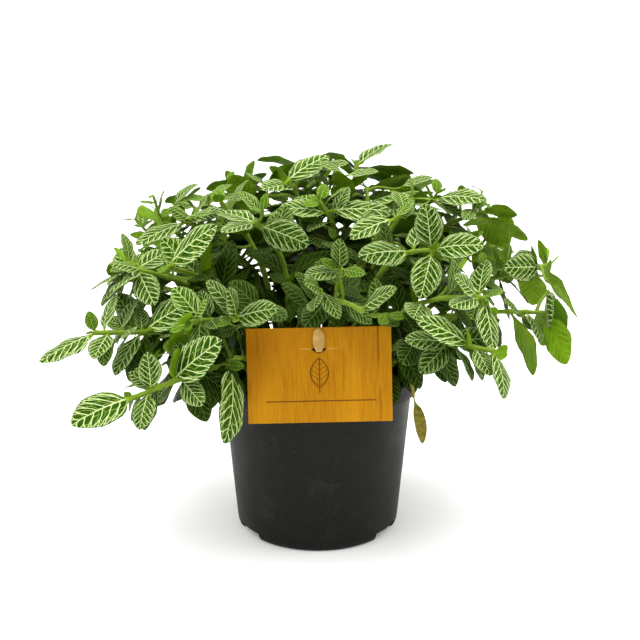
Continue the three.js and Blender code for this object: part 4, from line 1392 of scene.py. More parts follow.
def paint_dry_leaf(colours):
    """Withered leaf: olive brown with darker folds."""
    material, tree, shader = new_paint("dry_leaf", Roughness=0.8, Specular_IOR_Level=0.2)
    net = vein_net(tree)
    crumple = noise(tree, place_of(tree), 420.0, 4.0, 0.6)
    brown = mixed(tree, crumple.ease(0.3, 0.7), toned(colours.dry, 0.45), colours.dry)
    coloured(tree, shader, mixed(tree, net["veins"] * 0.4, brown, colours.stem))
    bumped(tree, shader, crumple, 0.8, 0.0008)
    return material


def paint_hair(colours):
    """Hairs: pale, with a soft sheen."""
    material, tree, shader = new_paint("stem_hair", Roughness=0.5, Sheen_Weight=0.4)
    shade = noise(tree, place_of(tree), 1500.0)
    coloured(tree, shader, mixed(tree, shade, colours.hair, colours.stem))
    return material


def paint_pot(colours):
    """Pot: charcoal moulded plastic with fine flow marks, dust and a few pale specks."""
    material, tree, shader = new_paint("pot_plastic", Specular_IOR_Level=0.12)
    place = place_of(tree)
    x, y, z = split(place)
    flow = noise(tree, joined(tree, x, y, z * 0.12), 90.0, 3.0)
    dust = noise(tree, place, 38.0, 6.0, 0.65)
    speck = noise(tree, place, 1400.0, 2.0)
    base = colours.plastic
    skin = mixed(tree, flow.ease(0.35, 0.7) * 0.5, base, toned(base, 1.35))
    skin = mixed(tree, dust.ease(0.52, 0.8) * 0.14, skin, linear(92, 92, 84))
    skin = mixed(tree, speck.ease(0.66, 0.75) * 0.3, skin, linear(110, 112, 108))
    coloured(tree, shader, skin)
    plug(tree, shader.inputs["Roughness"], dust.ease(0.3, 0.75, 0.44, 0.6))
    grain = noise(tree, place, 2600.0, 2.0) * 0.5 + flow * 0.5
    bumped(tree, shader, grain, 0.25, 0.0003)
    return material


def paint_soil(name, colours, per_crumb):
    """Soil: dark fibrous peat with a few pale bits."""
    material, tree, shader = new_paint(name, Roughness=0.95, Specular_IOR_Level=0.15)
    place = place_of(tree)
    clump = noise(tree, place, 240.0, 5.0, 0.7)
    earth = mixed(tree, clump.ease(0.3, 0.7), toned(colours.earth, 0.3), colours.earth)
    if per_crumb:
        chance, _, _ = split(attribute(tree, "crumb"))
        earth = mixed(tree, chance.ease(0.2, 0.9), earth, toned(colours.earth, 1.5))
        earth = mixed(tree, chance.above(0.965), earth, colours.grit)
    coloured(tree, shader, earth)
    bumped(tree, shader, noise(tree, place, 700.0, 4.0, 0.7), 0.9, 0.0015)
    return material


# Dark grain streaks on the card: place across, half width, lowest and highest place, depth
CARD_STREAKS = (
    (32.5, 0.9, 30, 60, 0.55),
    (13.5, 0.8, 14, 44, 0.35),
    (33.5, 0.8, -4, 22, 0.5),
    (-34, 1.2, 34, 60, 0.2),
    (-20, 0.6, -4, 34, 0.15),
    (25, 0.6, 20, 60, 0.2),
)
# The card's print, in millimetres from the middle of its bottom edge: the ruled line's height
# and half length, the leaf's foot, length and half width, and the height of the crease
RULE_HEIGHT = 12.2
RULE_MIDDLE = 0.5
RULE_HALF = 30.0
PRINT_FOOT = 19.5
PRINT_LENGTH = 17.0
PRINT_HALF = 5.0
CREASE_HEIGHT = 41.4


def paint_card(colours):
    """Card: printed wood grain with a plain ruled line and a small leaf, in a satin finish, with
    broad painted highlights.
    """
    material, tree, shader = new_paint("printed_card", Specular_IOR_Level=0.04)
    across, up, _ = split(attribute(tree, "sheet"))
    off = across.size()
    grain = noise(tree, joined(tree, across, up * 0.07, 0.0), 0.9, 6.0, 0.62)
    broad = noise(tree, joined(tree, across, up * 0.16, 3.0), 0.085, 3.0)
    wood = mixed(tree, grain.ease(0.32, 0.7), colours.dark_wood, colours.wood)
    # Painted highlight: broad patches of lighter wood colour
    wood = mixed(tree, broad.ease(0.4, 0.72) * 0.6, wood, toned(colours.wood, 1.18))
    corner = (across * -0.018 + up * 0.02).ease(0.55, 1.75) * 0.5
    wood = mixed(tree, corner, wood, linear(158, 94, 2))
    for centre, half, low, high, depth in CARD_STREAKS:
        line = (across - centre + (grain - 0.5) * 1.6).size().fade(half * 0.3, half)
        span = high - low
        band = (up - (low + high) / 2).size().fade(span * 0.28, span * 0.5)
        wood = mixed(tree, line * band * depth, wood, toned(colours.dark_wood, 0.4))
    rule = (up - RULE_HEIGHT).size().fade(0.28, 0.42)
    rule = rule * (across - RULE_MIDDLE).size().fade(RULE_HALF, RULE_HALF + 0.6)
    wood = mixed(tree, rule.largest(printed_leaf(off, up)) * 0.85, wood, colours.ink)
    crease = (up - CREASE_HEIGHT - off * 0.03).size().fade(0.15, 0.5)
    crease = crease * off.ease(3.0, 4.5) * off.fade(8.0, 12.0)
    wood = mixed(tree, crease * 0.3, wood, linear(232, 196, 120))
    coloured(tree, shader, wood)
    plug(tree, shader.inputs["Roughness"], grain.ease(0.3, 0.7, 0.5, 0.36))
    bumped(tree, shader, grain - crease * 2.0, 0.15, 0.0003)
    return material


def printed_leaf(off, up):
    """A plain leaf printed on the card: an outline, its midrib and a few side veins."""
    share = (up - PRINT_FOOT) / PRINT_LENGTH
    half = (share.clamped() * math.pi).sine().largest(0.0) ** 0.8 * PRINT_HALF
    edge = (off - half).size().fade(0.28, 0.5)
    within = (share - 0.5).size().fade(0.5, 0.52)
    rib = off.fade(0.22, 0.4) * (share - 0.42).size().fade(0.56, 0.6)
    sides = ((share * 6.0 - off * 0.28).fraction() - 0.5).size().fade(0.05, 0.12)
    inside = (half - off).ease(0.3, 0.6)
    return (edge * within).largest(rib).largest(sides * inside * 0.9 * within)


def paint_peg(colours):
    """Peg: milky plastic, a little cloudy, painted amber with the light of the card that shows
    through it.
    """
    material, tree, shader = new_paint(
        "peg_plastic", Roughness=0.32, Subsurface_Weight=0.3, Subsurface_Scale=0.002,
        Coat_Weight=0.2,
    )
    cloud = noise(tree, place_of(tree), 160.0, 3.0)
    # Cloudy patches are the plastic's own; the amber of both colours is painted light from the card
    # behind
    milky = mixed(tree, cloud.ease(0.3, 0.75), colours.peg, linear(204, 166, 88))
    coloured(tree, shader, milky)
    bumped(tree, shader, cloud, 0.1, 0.0003)
    return material


def paint_floor(colours):
    """Floor: plain pale studio paper."""
    material, tree, shader = new_paint("studio_floor", Roughness=0.9, Specular_IOR_Level=0.05)
    tone = noise(tree, place_of(tree), 3.0)
    coloured(tree, shader, mixed(tree, tone, colours.floor, toned(colours.floor, 0.995)))
    return material


# Geometry trees

def new_tree(name, inputs):
    """A geometry tree with named inputs. Returns it, its inputs as Wires and its last node."""
    tree = bpy.data.node_groups.new(name, "GeometryNodeTree")
    tree.interface.new_socket("Geometry", in_out="INPUT", socket_type="NodeSocketGeometry")
    for label, kind in inputs.items():
        tree.interface.new_socket(label, in_out="INPUT", socket_type="NodeSocket" + kind)
    tree.interface.new_socket("Geometry", in_out="OUTPUT", socket_type="NodeSocketGeometry")
    start = tree.nodes.new("NodeGroupInput")
    end = tree.nodes.new("NodeGroupOutput")
    wires = {socket.name: Wire(tree, socket) for socket in start.outputs if socket.name}
    return tree, wires, end


def named(tree, name, data_type="FLOAT_VECTOR"):
    return node(tree, "GeometryNodeInputNamedAttribute", {"Name": name}, data_type=data_type)


def stored(tree, geometry, name, value, domain="POINT"):
    inputs = {"Geometry": geometry, "Name": name, "Value": value}
    return node(
        tree, "GeometryNodeStoreNamedAttribute", inputs, data_type="FLOAT_VECTOR", domain=domain,
    )


def material_set(tree, geometry, paint, **selection):
    inputs = {"Geometry": geometry, "Material": paint, **selection}
    return node(tree, "GeometryNodeSetMaterial", inputs)


def joined_geometry(tree, *parts):
    join = tree.nodes.new("GeometryNodeJoinGeometry")
    for part in reversed(parts):
        tree.links.new(part.socket, join.inputs[0])
    return Wire(tree, join.outputs[0])


# A leaf's mesh: how much closer its rows stand at both ends, the waves of its margin, the
# distance in metres at which corners merge, and the angle in radians that stays sharp
ROW_CROWDING = 0.08
MARGIN_WAVES = 2.3
MERGE_DISTANCE = 2e-6
SHARP_ANGLE = 1.2


def blade_tree():
    """Leaf blades on leaf points, and tubes along the stems' lines.

    Each leaf point carries its leaf's measures. A thin closed lens of cells is set on every
    point, and then each corner is moved to where the leaf's own curve puts it.
    """
    tree, given, end = new_tree("Leafy stem", {
        "Cells across": "Int", "Cells along": "Int", "Blade": "Float", "Petiole": "Float",
        "Ripple": "Float", "Stem sides": "Int", "Upper": "Material", "Under": "Material",
        "Dry": "Material", "Skin": "Material",
    })
    is_leaf = named(tree, "is_leaf", "FLOAT").above(0.5)
    parts = tree.nodes.new("GeometryNodeSeparateGeometry")
    plug(tree, parts.inputs["Geometry"], given["Geometry"])
    plug(tree, parts.inputs["Selection"], is_leaf)
    leaf_points, lines = (Wire(tree, socket) for socket in parts.outputs)

    curve = node(tree, "GeometryNodeMeshToCurve", {"Mesh": lines})
    ring = node(tree, "GeometryNodeCurvePrimitiveCircle", {
        "Resolution": given["Stem sides"], "Radius": 1.0,
    })
    tube = node(tree, "GeometryNodeCurveToMesh", {
        "Curve": curve, "Profile Curve": ring, "Scale": named(tree, "thick", "FLOAT"),
        "Fill Caps": True,
    })
    tube = material_set(tree, tube, given["Skin"])

    faces = []
    for level in (1.0, -1.0):
        grid = node(tree, "GeometryNodeMeshGrid", {
            "Size X": 2.0, "Size Y": 1.0, "Vertices X": given["Cells across"] + 1.0,
            "Vertices Y": given["Cells along"] + 1.0,
        })
        side, row, _ = split(node(tree, "GeometryNodeInputPosition"))
        grid = stored(tree, grid, "place", joined(tree, side, row + 0.5, level))
        if level < 0:
            grid = node(tree, "GeometryNodeFlipFaces", {"Mesh": grid})
        faces.append(grid)
    both = joined_geometry(tree, *faces)
    blades = node(tree, "GeometryNodeInstanceOnPoints", {"Points": leaf_points, "Instance": both})
    blades = node(tree, "GeometryNodeRealizeInstances", {"Geometry": blades})

    side, row, level = split(named(tree, "place"))
    along, face, base = named(tree, "along"), named(tree, "face"), named(tree, "base")
    length, half, bend = split(named(tree, "measure"))
    cup, seed, dry = split(named(tree, "habit"))
    share = row - (row * math.tau).sine() * ROW_CROWDING
    t = ((share - PETIOLE_SHARE) / (1 - PETIOLE_SHARE)).clamped()
    rounded = (t**OUTLINE_SKEW * math.pi).sine().largest(0.0) ** OUTLINE_FULLNESS
    stalk = share.above(0.5).rest() * PETIOLE_WIDTH
    width = half * rounded.largest(stalk)
    turn = bend * (share - 0.5)
    run = length * (turn.sine() + (bend * 0.5).sine()) / bend
    drop = length * ((bend * 0.5).cosine() - turn.cosine()) / bend
    edge = side * side
    wave = ((share * MARGIN_WAVES + seed * 3.0 + side * 0.22) * math.tau).sine()
    wave = wave * (share * math.pi).sine()
    cupped = (cup * side.size() ** CUP_POWER + wave * edge * given["Ripple"]) * width
    # The stalk's thickness dies away along the leaf, and both round off at the leaf's ends
    plump = (share * -9.0).math("EXPONENT") * given["Petiole"] * (share * 22.0).smallest(1.0)
    thin = given["Blade"] * (share**6.0).rest().largest(0.0) ** 0.5 * (share * 8.0).smallest(1.0)
    lens = level * 0.5 * (plump + thin) * edge.rest().largest(0.0) ** 0.5
    normal = summed(tree, scaled(face, turn.cosine()), scaled(along, turn.sine()))
    spot = summed(
        tree, base, scaled(along, run), scaled(face, drop * -1.0),
        scaled(vector_math(tree, "CROSS_PRODUCT", along, face), side * width),
        scaled(normal, cupped + lens),
    )
    blades = stored(tree, blades, "blade", joined(tree, side * width / length, share, side))
    blades = node(tree, "GeometryNodeSetPosition", {"Geometry": blades, "Position": spot})
    is_upper = level.above(0.0)
    for test, paint in ((is_upper, "Upper"), (is_upper.rest(), "Under"), (dry, "Dry")):
        blades = material_set(tree, blades, given[paint], Selection=test.above(0.5))
    blades = node(tree, "GeometryNodeMergeByDistance", {
        "Geometry": blades, "Distance": MERGE_DISTANCE,
    })
    sharp = node(tree, "GeometryNodeInputMeshEdgeAngle").above(SHARP_ANGLE)
    blades = node(tree, "GeometryNodeSetShadeSmooth", {
        "Geometry": blades, "Selection": sharp, "Shade Smooth": False,
    }, domain="EDGE")
    tree.links.new(joined_geometry(tree, blades, tube).socket, end.inputs[0])
    return tree


def scattered(tree, given, **selection):
    """Points scattered on the given mesh, and their rotations."""
    made = tree.nodes.new("GeometryNodeDistributePointsOnFaces")
    inputs = {"Mesh": given["Geometry"], "Density": given["Density"], "Seed": given["Seed"]}
    for key, value in {**inputs, **selection}.items():
        plug(tree, made.inputs[key], value)
    return Wire(tree, made.outputs["Points"]), Wire(tree, made.outputs["Rotation"])


def chance(tree, low, high, seed):
    """A random number for each instance."""
    return node(tree, "FunctionNodeRandomValue", {2: low, 3: high, "Seed": seed}, output=1)


def chances(tree, low, high, seed):
    """Three random numbers for each instance."""
    inputs = {0: low, 1: high, "Seed": seed}
    return node(tree, "FunctionNodeRandomValue", inputs, data_type="FLOAT_VECTOR")


def give_out(tree, instances, paint, end):
    """Makes the instances real and gives them out with their paint."""
    real = node(tree, "GeometryNodeRealizeInstances", {"Geometry": instances})
    tree.links.new(material_set(tree, real, paint).socket, end.inputs[0])


def hair_tree():
    """Short hairs that stand out from the stems, each a slender three-sided spike."""
    tree, given, end = new_tree("Stem hairs", {
        "Density": "Float", "Length": "Float", "Radius": "Float", "Seed": "Int",
        "Paint": "Material",
    })
    points, rotation = scattered(tree, given)
    spike = node(tree, "GeometryNodeMeshCone", {
        "Vertices": 3, "Radius Top": 0.0, "Radius Bottom": given["Radius"],
        "Depth": given["Length"],
    })
    tilt = chances(tree, (-0.5, -0.5, -3.1), (0.5, 0.5, 3.1), given["Seed"] + 1.0)
    lean = node(tree, "FunctionNodeEulerToRotation", {0: tilt})
    turned = node(
        tree, "FunctionNodeRotateRotation", {0: rotation, 1: lean}, rotation_space="LOCAL",
    )
    size = chance(tree, 0.5, 1.1, given["Seed"] + 2.0)
    hairs = node(tree, "GeometryNodeInstanceOnPoints", {
        "Points": points, "Instance": spike, "Rotation": turned, "Scale": size,
    })
    give_out(tree, hairs, given["Paint"], end)
    return tree


def crumb_tree():
    """Crumbs of soil scattered on the faces that look up."""
    tree, given, end = new_tree("Soil crumbs", {
        "Density": "Float", "Radius": "Float", "Seed": "Int", "Paint": "Material",
    })
    _, _, up = split(node(tree, "GeometryNodeInputNormal"))
    points, _ = scattered(tree, given, Selection=up.above(0.7))
    ball = node(tree, "GeometryNodeMeshIcoSphere", {"Radius": given["Radius"], "Subdivisions": 1})
    tilt = chances(tree, (-3.1, -3.1, -3.1), (3.1, 3.1, 3.1), given["Seed"] + 1.0)
    squash = chances(tree, (0.25, 0.2, 0.2), (1.0, 0.7, 0.6), given["Seed"] + 2.0)
    crumbs = node(tree, "GeometryNodeInstanceOnPoints", {
        "Points": points, "Instance": ball,
        "Rotation": node(tree, "FunctionNodeEulerToRotation", {0: tilt}), "Scale": squash,
    })
    tone = chance(tree, 0.0, 1.0, given["Seed"] + 3.0)
    crumbs = stored(tree, crumbs, "crumb", joined(tree, tone, 0.0, 0.0), "INSTANCE")
    give_out(tree, crumbs, given["Paint"], end)
    return tree


# Meshes

def new_mesh(name, points, faces, edges=()):
    mesh = bpy.data.meshes.new(name)
    mesh.from_pydata(points, edges, faces)
    return mesh


def new_object(name, data):
    made = bpy.data.objects.new(name, data)
    bpy.context.scene.collection.objects.link(made)
    return made


def with_tree(name, mesh, tree, values):
    """An object whose mesh a tree remakes, with the tree's inputs set."""
    made = new_object(name, mesh)
    modifier = made.modifiers.new("Rule", "NODES")
    modifier.node_group = tree
    for item in tree.interface.items_tree:
        if item.in_out == "INPUT" and item.name in values:
            modifier[item.identifier] = values[item.name]
    return made


def settle(pieces):
    """Replaces each piece's mesh by what its modifiers make of it, and removes the modifiers."""
    graph = bpy.context.evaluated_depsgraph_get()
    made = [bpy.data.meshes.new_from_object(piece.evaluated_get(graph)) for piece in pieces]
    for piece, mesh in zip(pieces, made):
        old = piece.data
        piece.modifiers.clear()
        piece.data = mesh
        mesh.name = piece.name
        bpy.data.meshes.remove(old)


def keep(piece, slot, *nodes):
    """Says what a finished piece rides on and replaces; its slot is not used."""
    if not len(piece.data.polygons):
        raise RuntimeError(piece.name + " has no faces")
    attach(piece, BODY)
    if nodes:
        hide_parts(*nodes)


def turned_mesh(name, profile, sides, wobble=None):
    """A closed shape turned about the upright axis, from radius and height pairs in metres."""
    points, rings = [], []
    for radius, height in profile:
        if radius == 0:
            rings.append([len(points)] * sides)
            points.append((0, 0, height))
            continue
        rings.append(list(range(len(points), len(points) + sides)))
        for k in range(sides):
            a = math.tau * k / sides
            x, y = radius * math.cos(a), radius * math.sin(a)
            points.append((x, y, height + (wobble(x, y, height) if wobble else 0)))
    faces = []
    for low, high in zip(rings, rings[1:]):
        for k in range(sides):
            n = (k + 1) % sides
            corners = [low[k], low[n], high[n], high[k]]
            faces.append(list(dict.fromkeys(corners)))
    return new_mesh(name, points, faces)


def finish(mesh, degrees, paint):
    """Smooth faces, with the edges sharper than an angle kept as creases, in one paint."""
    mesh.shade_smooth()
    mesh.set_sharp_from_angle(angle=math.radians(degrees))
    mesh.materials.clear()
    mesh.materials.append(paint)


def card_place(x, y, lift):
    """A point of the card's own plane, in millimetres from the middle of its bottom edge."""
    roll = math.radians(CARD_ROLL)
    lean = math.radians(90 - CARD_LEAN)
    middle = CARD_HEIGHT / 2
    rolled_x = x * math.cos(roll) - (y - middle) * math.sin(roll)
    rolled_y = x * math.sin(roll) + (y - middle) * math.cos(roll) + middle
    return (
        CARD_CENTRE_X + rolled_x,
        card_y(CARD_BOTTOM) + rolled_y * math.cos(lean) - lift * math.sin(lean),
        CARD_BOTTOM + rolled_y * math.sin(lean) + lift * math.cos(lean),
    )


def flat_mesh(name, outlines, thickness, bevel, rounding=2):
    """A sheet with rounded edges, cut to closed outlines and holes, in millimetres."""
    curve = bpy.data.curves.new(name, "CURVE")
    curve.dimensions = "2D"
    curve.fill_mode = "BOTH"
    curve.extrude = thickness / 2 - bevel
    curve.bevel_depth = bevel
    curve.bevel_resolution = rounding
    curve.offset = -bevel
    for points in outlines:
        spline = curve.splines.new("POLY")
        spline.points.add(len(points) - 1)
        for corner, (x, y) in zip(spline.points, points):
            corner.co = (x, y, 0, 1)
        spline.use_cyclic_u = True
    holder = new_object(name, curve)
    graph = bpy.context.evaluated_depsgraph_get()
    mesh = bpy.data.meshes.new_from_object(holder.evaluated_get(graph))
    bpy.data.objects.remove(holder)
    bpy.data.curves.remove(curve)
    merged(mesh, 1e-4)
    return mesh


def merged(mesh, distance):
    """Joins corners that coincide and turns the faces outwards."""
    work = bmesh.new()
    work.from_mesh(mesh)
    bmesh.ops.remove_doubles(work, verts=work.verts, dist=distance)
    bmesh.ops.recalc_face_normals(work, faces=work.faces)
    work.to_mesh(mesh)
    work.free()


def arc(centre_x, centre_y, radius, start, end, steps):
    """Points of an arc, its angles in degrees."""
    angles = [math.radians(start + (end - start) * k / steps) for k in range(steps + 1)]
    return [(centre_x + radius * math.cos(a), centre_y + radius * math.sin(a)) for a in angles]


# The pieces

def pot_profile(s):
    """The pot's section from the middle of its underside, round the rim, to its floor."""
    height, rim, depth, top, foot, wall = (value / MM for value in (
        s.height, s.rim_radius, s.rim_depth, s.wall_top_radius, s.wall_foot_radius, s.wall,
    ))
    under = height - depth
    rise = under - 3 - CORNER_HEIGHT
    points = [*FOOT_SECTION, (foot, CORNER_HEIGHT)]
    for k in range(1, 9):
        points.append((foot + (top - foot) * k / 8, CORNER_HEIGHT + rise * k / 8))
    points += [
        (top + 0.3, under - 1.8), (top + 1.2, under - 0.8),
        (rim - 1.6, under - 0.2), (rim - 0.5, under + 0.3), (rim, under + 1.4),
        (rim - 0.12, under + 5), (rim - 0.06, height - 3), (rim, height - 1.6),
        (rim - 0.25, height - 0.6), (rim - 0.9, height), (rim - 1.7, height - 0.05),
        (rim - 2.3, height - 0.6), (rim - 2.6, under + 3),
        (top - wall + 0.7, under + 1.2), (top - wall, under - 0.6),
        (foot - wall, CORNER_HEIGHT + 1.5), (foot - wall - 1.5, POT_FLOOR), (0, POT_FLOOR),
    ]
    return [(radius * MM, z * MM) for radius, z in points]


def wedge_mesh(azimuth):
    """The cutter for one notch in the pot's foot."""
    points = []
    for z in (-1, NOTCH_HEIGHT):
        for radius, turn in (
            (NOTCH_INNER, -1), (NOTCH_OUTER, -1), (NOTCH_OUTER, 1), (NOTCH_INNER, 1),
        ):
            a = math.radians(azimuth + turn * NOTCH_HALF_ANGLE)
            points.append((radius * math.sin(a) * MM, -radius * math.cos(a) * MM, z * MM))
    faces = [(3, 2, 1, 0), (4, 5, 6, 7), (0, 1, 5, 4), (1, 2, 6, 5), (2, 3, 7, 6), (3, 0, 4, 7)]
    return new_mesh("notch", points, faces)


def drain_mesh(angle):
    """The cutter for one drain hole."""
    low, high, radius, ring = (v * MM for v in (-1, 10, DRAIN_RADIUS, DRAIN_RING))
    hole = turned_mesh("hole", [(0, low), (radius, low), (radius, high), (0, high)], 20)
    hole.transform(Matrix.Translation((ring * math.cos(angle), ring * math.sin(angle), 0)))
    return hole


def combine(piece, meshes, operation):
    """Joins meshes to a piece or cuts them out of it, and removes them."""
    tools = []
    for mesh in meshes:
        tool = new_object("tool", mesh)
        modifier = piece.modifiers.new("Combine", "BOOLEAN")
        modifier.operation = operation
        modifier.solver = "EXACT"
        modifier.object = tool
        tools.append(tool)
    settle([piece])
    for tool in tools:
        mesh = tool.data
        bpy.data.objects.remove(tool)
        bpy.data.meshes.remove(mesh)


class PLANT_OT_pot(bpy.types.Operator):
    """Build the nursery pot: tapered wall, rolled rim band, notched foot and drain holes"""

    bl_idname = "nerve_plant.pot"
    bl_label = "Pot"

    def execute(self, context):
        s = context.scene.nerve_plant.pot
        pot = new_object("nursery_pot", turned_mesh("nursery_pot", pot_profile(s), s.sides))
        cutters = [wedge_mesh(azimuth) for azimuth in (60, 180, 300)]
        cutters += [drain_mesh(math.tau * k / DRAIN_HOLES) for k in range(DRAIN_HOLES)]
        combine(pot, cutters, "DIFFERENCE")
        merged(pot.data, 1e-6)
        finish(pot.data, 34, paint_pot(s))
        keep(pot, "pot_plastic", "pot")
        return {"FINISHED"}


# The soil's underside, the waves of its surface with their height, and the surface's rings
SOIL_FOOT = 4.7
SOIL_WAVES = 14
SOIL_BUMP = 0.22
SOIL_RINGS = 26


class PLANT_OT_soil(bpy.types.Operator):
    """Fill the pot with crumbly soil"""

    bl_idname = "nerve_plant.soil"
    bl_label = "Soil"

    def execute(self, context):
        s = context.scene.nerve_plant.soil
        draws = Draws(LOOKS_SEED)
        waves = [(200 + 900 * draws.next(), math.tau * draws.next(), math.tau * draws.next())
                 for _ in range(SOIL_WAVES)]

        def wobble(x, y, height):
            if height < s.level - 1.5 * MM:
                return 0
            bumps = sum(math.sin(f * (x * math.cos(a) + y * math.sin(a)) + b) for f, a, b in waves)
            return SOIL_BUMP * MM * bumps

        edge = (inner_wall_radius(SOIL_LEVEL) - GAP) * MM
        profile = [
            (0, SOIL_FOOT * MM), ((inner_wall_radius(0) - 2.2) * MM, SOIL_FOOT * MM),
            ((inner_wall_radius(CORNER_HEIGHT) - GAP) * MM, 7 * MM), (edge, s.level - 2 * MM),
        ]
        for k in range(SOIL_RINGS):
            rise = 1.6 * MM * min(1, k / 9)
            profile.append((edge * (1 - k / SOIL_RINGS), s.level - 0.6 * MM + rise))
        profile.append((0, s.level + 1 * MM))
        soil = new_object("potting_soil", turned_mesh("potting_soil", profile, 84, wobble))
        finish(soil.data, 50, paint_soil("potting_soil", s, False))
        crumbs = with_tree("soil_crumbs", soil.data.copy(), crumb_tree(), {
            "Density": s.density, "Radius": s.crumb, "Seed": CRUMB_SEED,
            "Paint": paint_soil("soil_crumbs", s, True),
        })
        settle([crumbs])
        keep(soil, "potting_soil", "soil")
        keep(crumbs, "potting_soil")
        return {"FINISHED"}


def place_on_card(mesh, lift):
    """Keeps a flat mesh's own plane as an attribute, then moves it onto the card's plane."""
    sheet = mesh.attributes.new("sheet", "FLOAT_VECTOR", "POINT")
    for corner, kept in zip(mesh.vertices, sheet.data):
        x, y, z = corner.co
        kept.vector = (x, y, z)
        corner.co = [value * MM for value in card_place(x, y, z + lift)]


class PLANT_OT_card(bpy.types.Operator):
    """Build the printed card with its half-moon slit"""

    bl_idname = "nerve_plant.card"
    bl_label = "Card"

    def execute(self, context):
        s = context.scene.nerve_plant.card
        w, h, r = s.width / MM / 2, s.height / MM, 0.5
        sheet = (
            arc(w - r, r, r, -90, 0, 4) + arc(w - r, h - r, r, 0, 90, 4)
            + arc(r - w, h - r, r, 90, 180, 4) + arc(r - w, r, r, 180, 270, 4)
        )
        slit = []
        for k in range(17):
            share = k / 16
            sag = SLIT_HEIGHT * (1 - (2 * share - 1) ** 2)
            slit.append((SLIT_WIDTH / 2 - SLIT_WIDTH * share, h - SLIT_BELOW_TOP - sag))
        mesh = flat_mesh("printed_card", [sheet, slit], s.thickness / MM, 0.12)
        place_on_card(mesh, 0)
        finish(mesh, 40, paint_card(s))
        keep(new_object("printed_card", mesh), "printed_card", "label_card")
        return {"FINISHED"}


class PLANT_OT_peg(bpy.types.Operator):
    """Build the milky peg: a stake behind the card and a drop-shaped head through its slit"""

    bl_idname = "nerve_plant.peg"
    bl_label = "Peg"

    def execute(self, context):
        s = context.scene.nerve_plant.card
        slit_top = CARD_HEIGHT - SLIT_BELOW_TOP
        low = slit_top - SLIT_HEIGHT + 0.9
        head = drop_outline(low, slit_top)
        front = CARD_THICKNESS / 2 + GAP + PEG_THICKNESS / 2
        head_mesh = flat_mesh("head", [head], PEG_THICKNESS, 0.5, 3)
        place_on_card(head_mesh, front)
        neck_top, half = slit_top - GAP, NECK_WIDTH / 2
        neck = [(-half, low), (half, low), (half, neck_top), (-half, neck_top)]
        through = CARD_THICKNESS + 2 * GAP + 2 * PEG_THICKNESS - 0.4
        neck_mesh = flat_mesh("neck", [neck], through, 0.15)
        place_on_card(neck_mesh, 0)
        peg = new_object("card_peg_moulding", head_mesh)
        combine(peg, (neck_mesh, stake()), "UNION")
        finish(peg.data, 38, paint_peg(s))
        keep(peg, "peg_plastic", "card_peg")
        return {"FINISHED"}


def drop_outline(low, slit_top):
    """Outline of the peg's head: narrow at the slit, broad and round at its top."""

    def bent(start, pull, end, steps=8):
        found = []
        for k in range(1, steps + 1):
            t = k / steps
            shares = ((1 - t) ** 2, 2 * t * (1 - t), t * t)
            found.append(tuple(
                sum(share * value for share, value in zip(shares, values))
                for values in zip(start, pull, end)
            ))
        return found

    wide, top, half = PEG_HEAD_WIDTH, slit_top + PEG_HEAD_HEIGHT, NECK_WIDTH / 2
    right, left = (wide * 0.36, top - 2.5), (-wide * 0.36, top - 2.5)
    points = [(-half, low), (half, low)]
    points += bent((half, low), (wide * 0.66, slit_top + 5), right)
    points += bent(right, (0, top + 0.6), left)
    points += bent(left, (-wide * 0.66, slit_top + 5), (-half, low))[:-1]
    return points


def stake():
    """The stake stands in the soil and runs up behind the card to its slit."""
    up_card = CARD_HEIGHT - SLIT_BELOW_TOP - SLIT_HEIGHT / 2
    slit = CARD_BOTTOM + up_card * math.cos(math.radians(CARD_LEAN))
    spots = [
        (-STAKE_RADIUS, SOIL_LEVEL - ROOT_DEPTH), (-STAKE_RADIUS, POT_HEIGHT + 2),
        (card_y(slit) + CARD_THICKNESS / 2 + GAP + PEG_THICKNESS / 2, slit + 1),
    ]
    points = []
    for y, z in spots:
        for x, deep in ((-1, -1), (1, -1), (1, 1), (-1, 1)):
            corner = (CARD_CENTRE_X + x * STAKE_WIDTH / 2, y + deep * PEG_THICKNESS / 2, z)
            points.append([value * MM for value in corner])
    faces = [(3, 2, 1, 0), (8, 9, 10, 11)]
    for low in (0, 4):
        for k in range(4):
            n = low + (k + 1) % 4
            faces.append((low + k, n, n + 4, low + k + 4))
    return new_mesh("stake", points, faces)


# The cells across and along a leaf, and the facets round a stem
LEAF_COLUMNS = 8
LEAF_ROWS = 13
STEM_SIDES = 9
# A stem's points, how its radius runs from root to tip, how far along it a knee swells in
# millimetres, and the radius of the withered leaf's stalk
STEM_POINTS = 84
STEM_TAPER = 1.3
KNEE_REACH = 1.9
WITHERED_STALK = 0.9


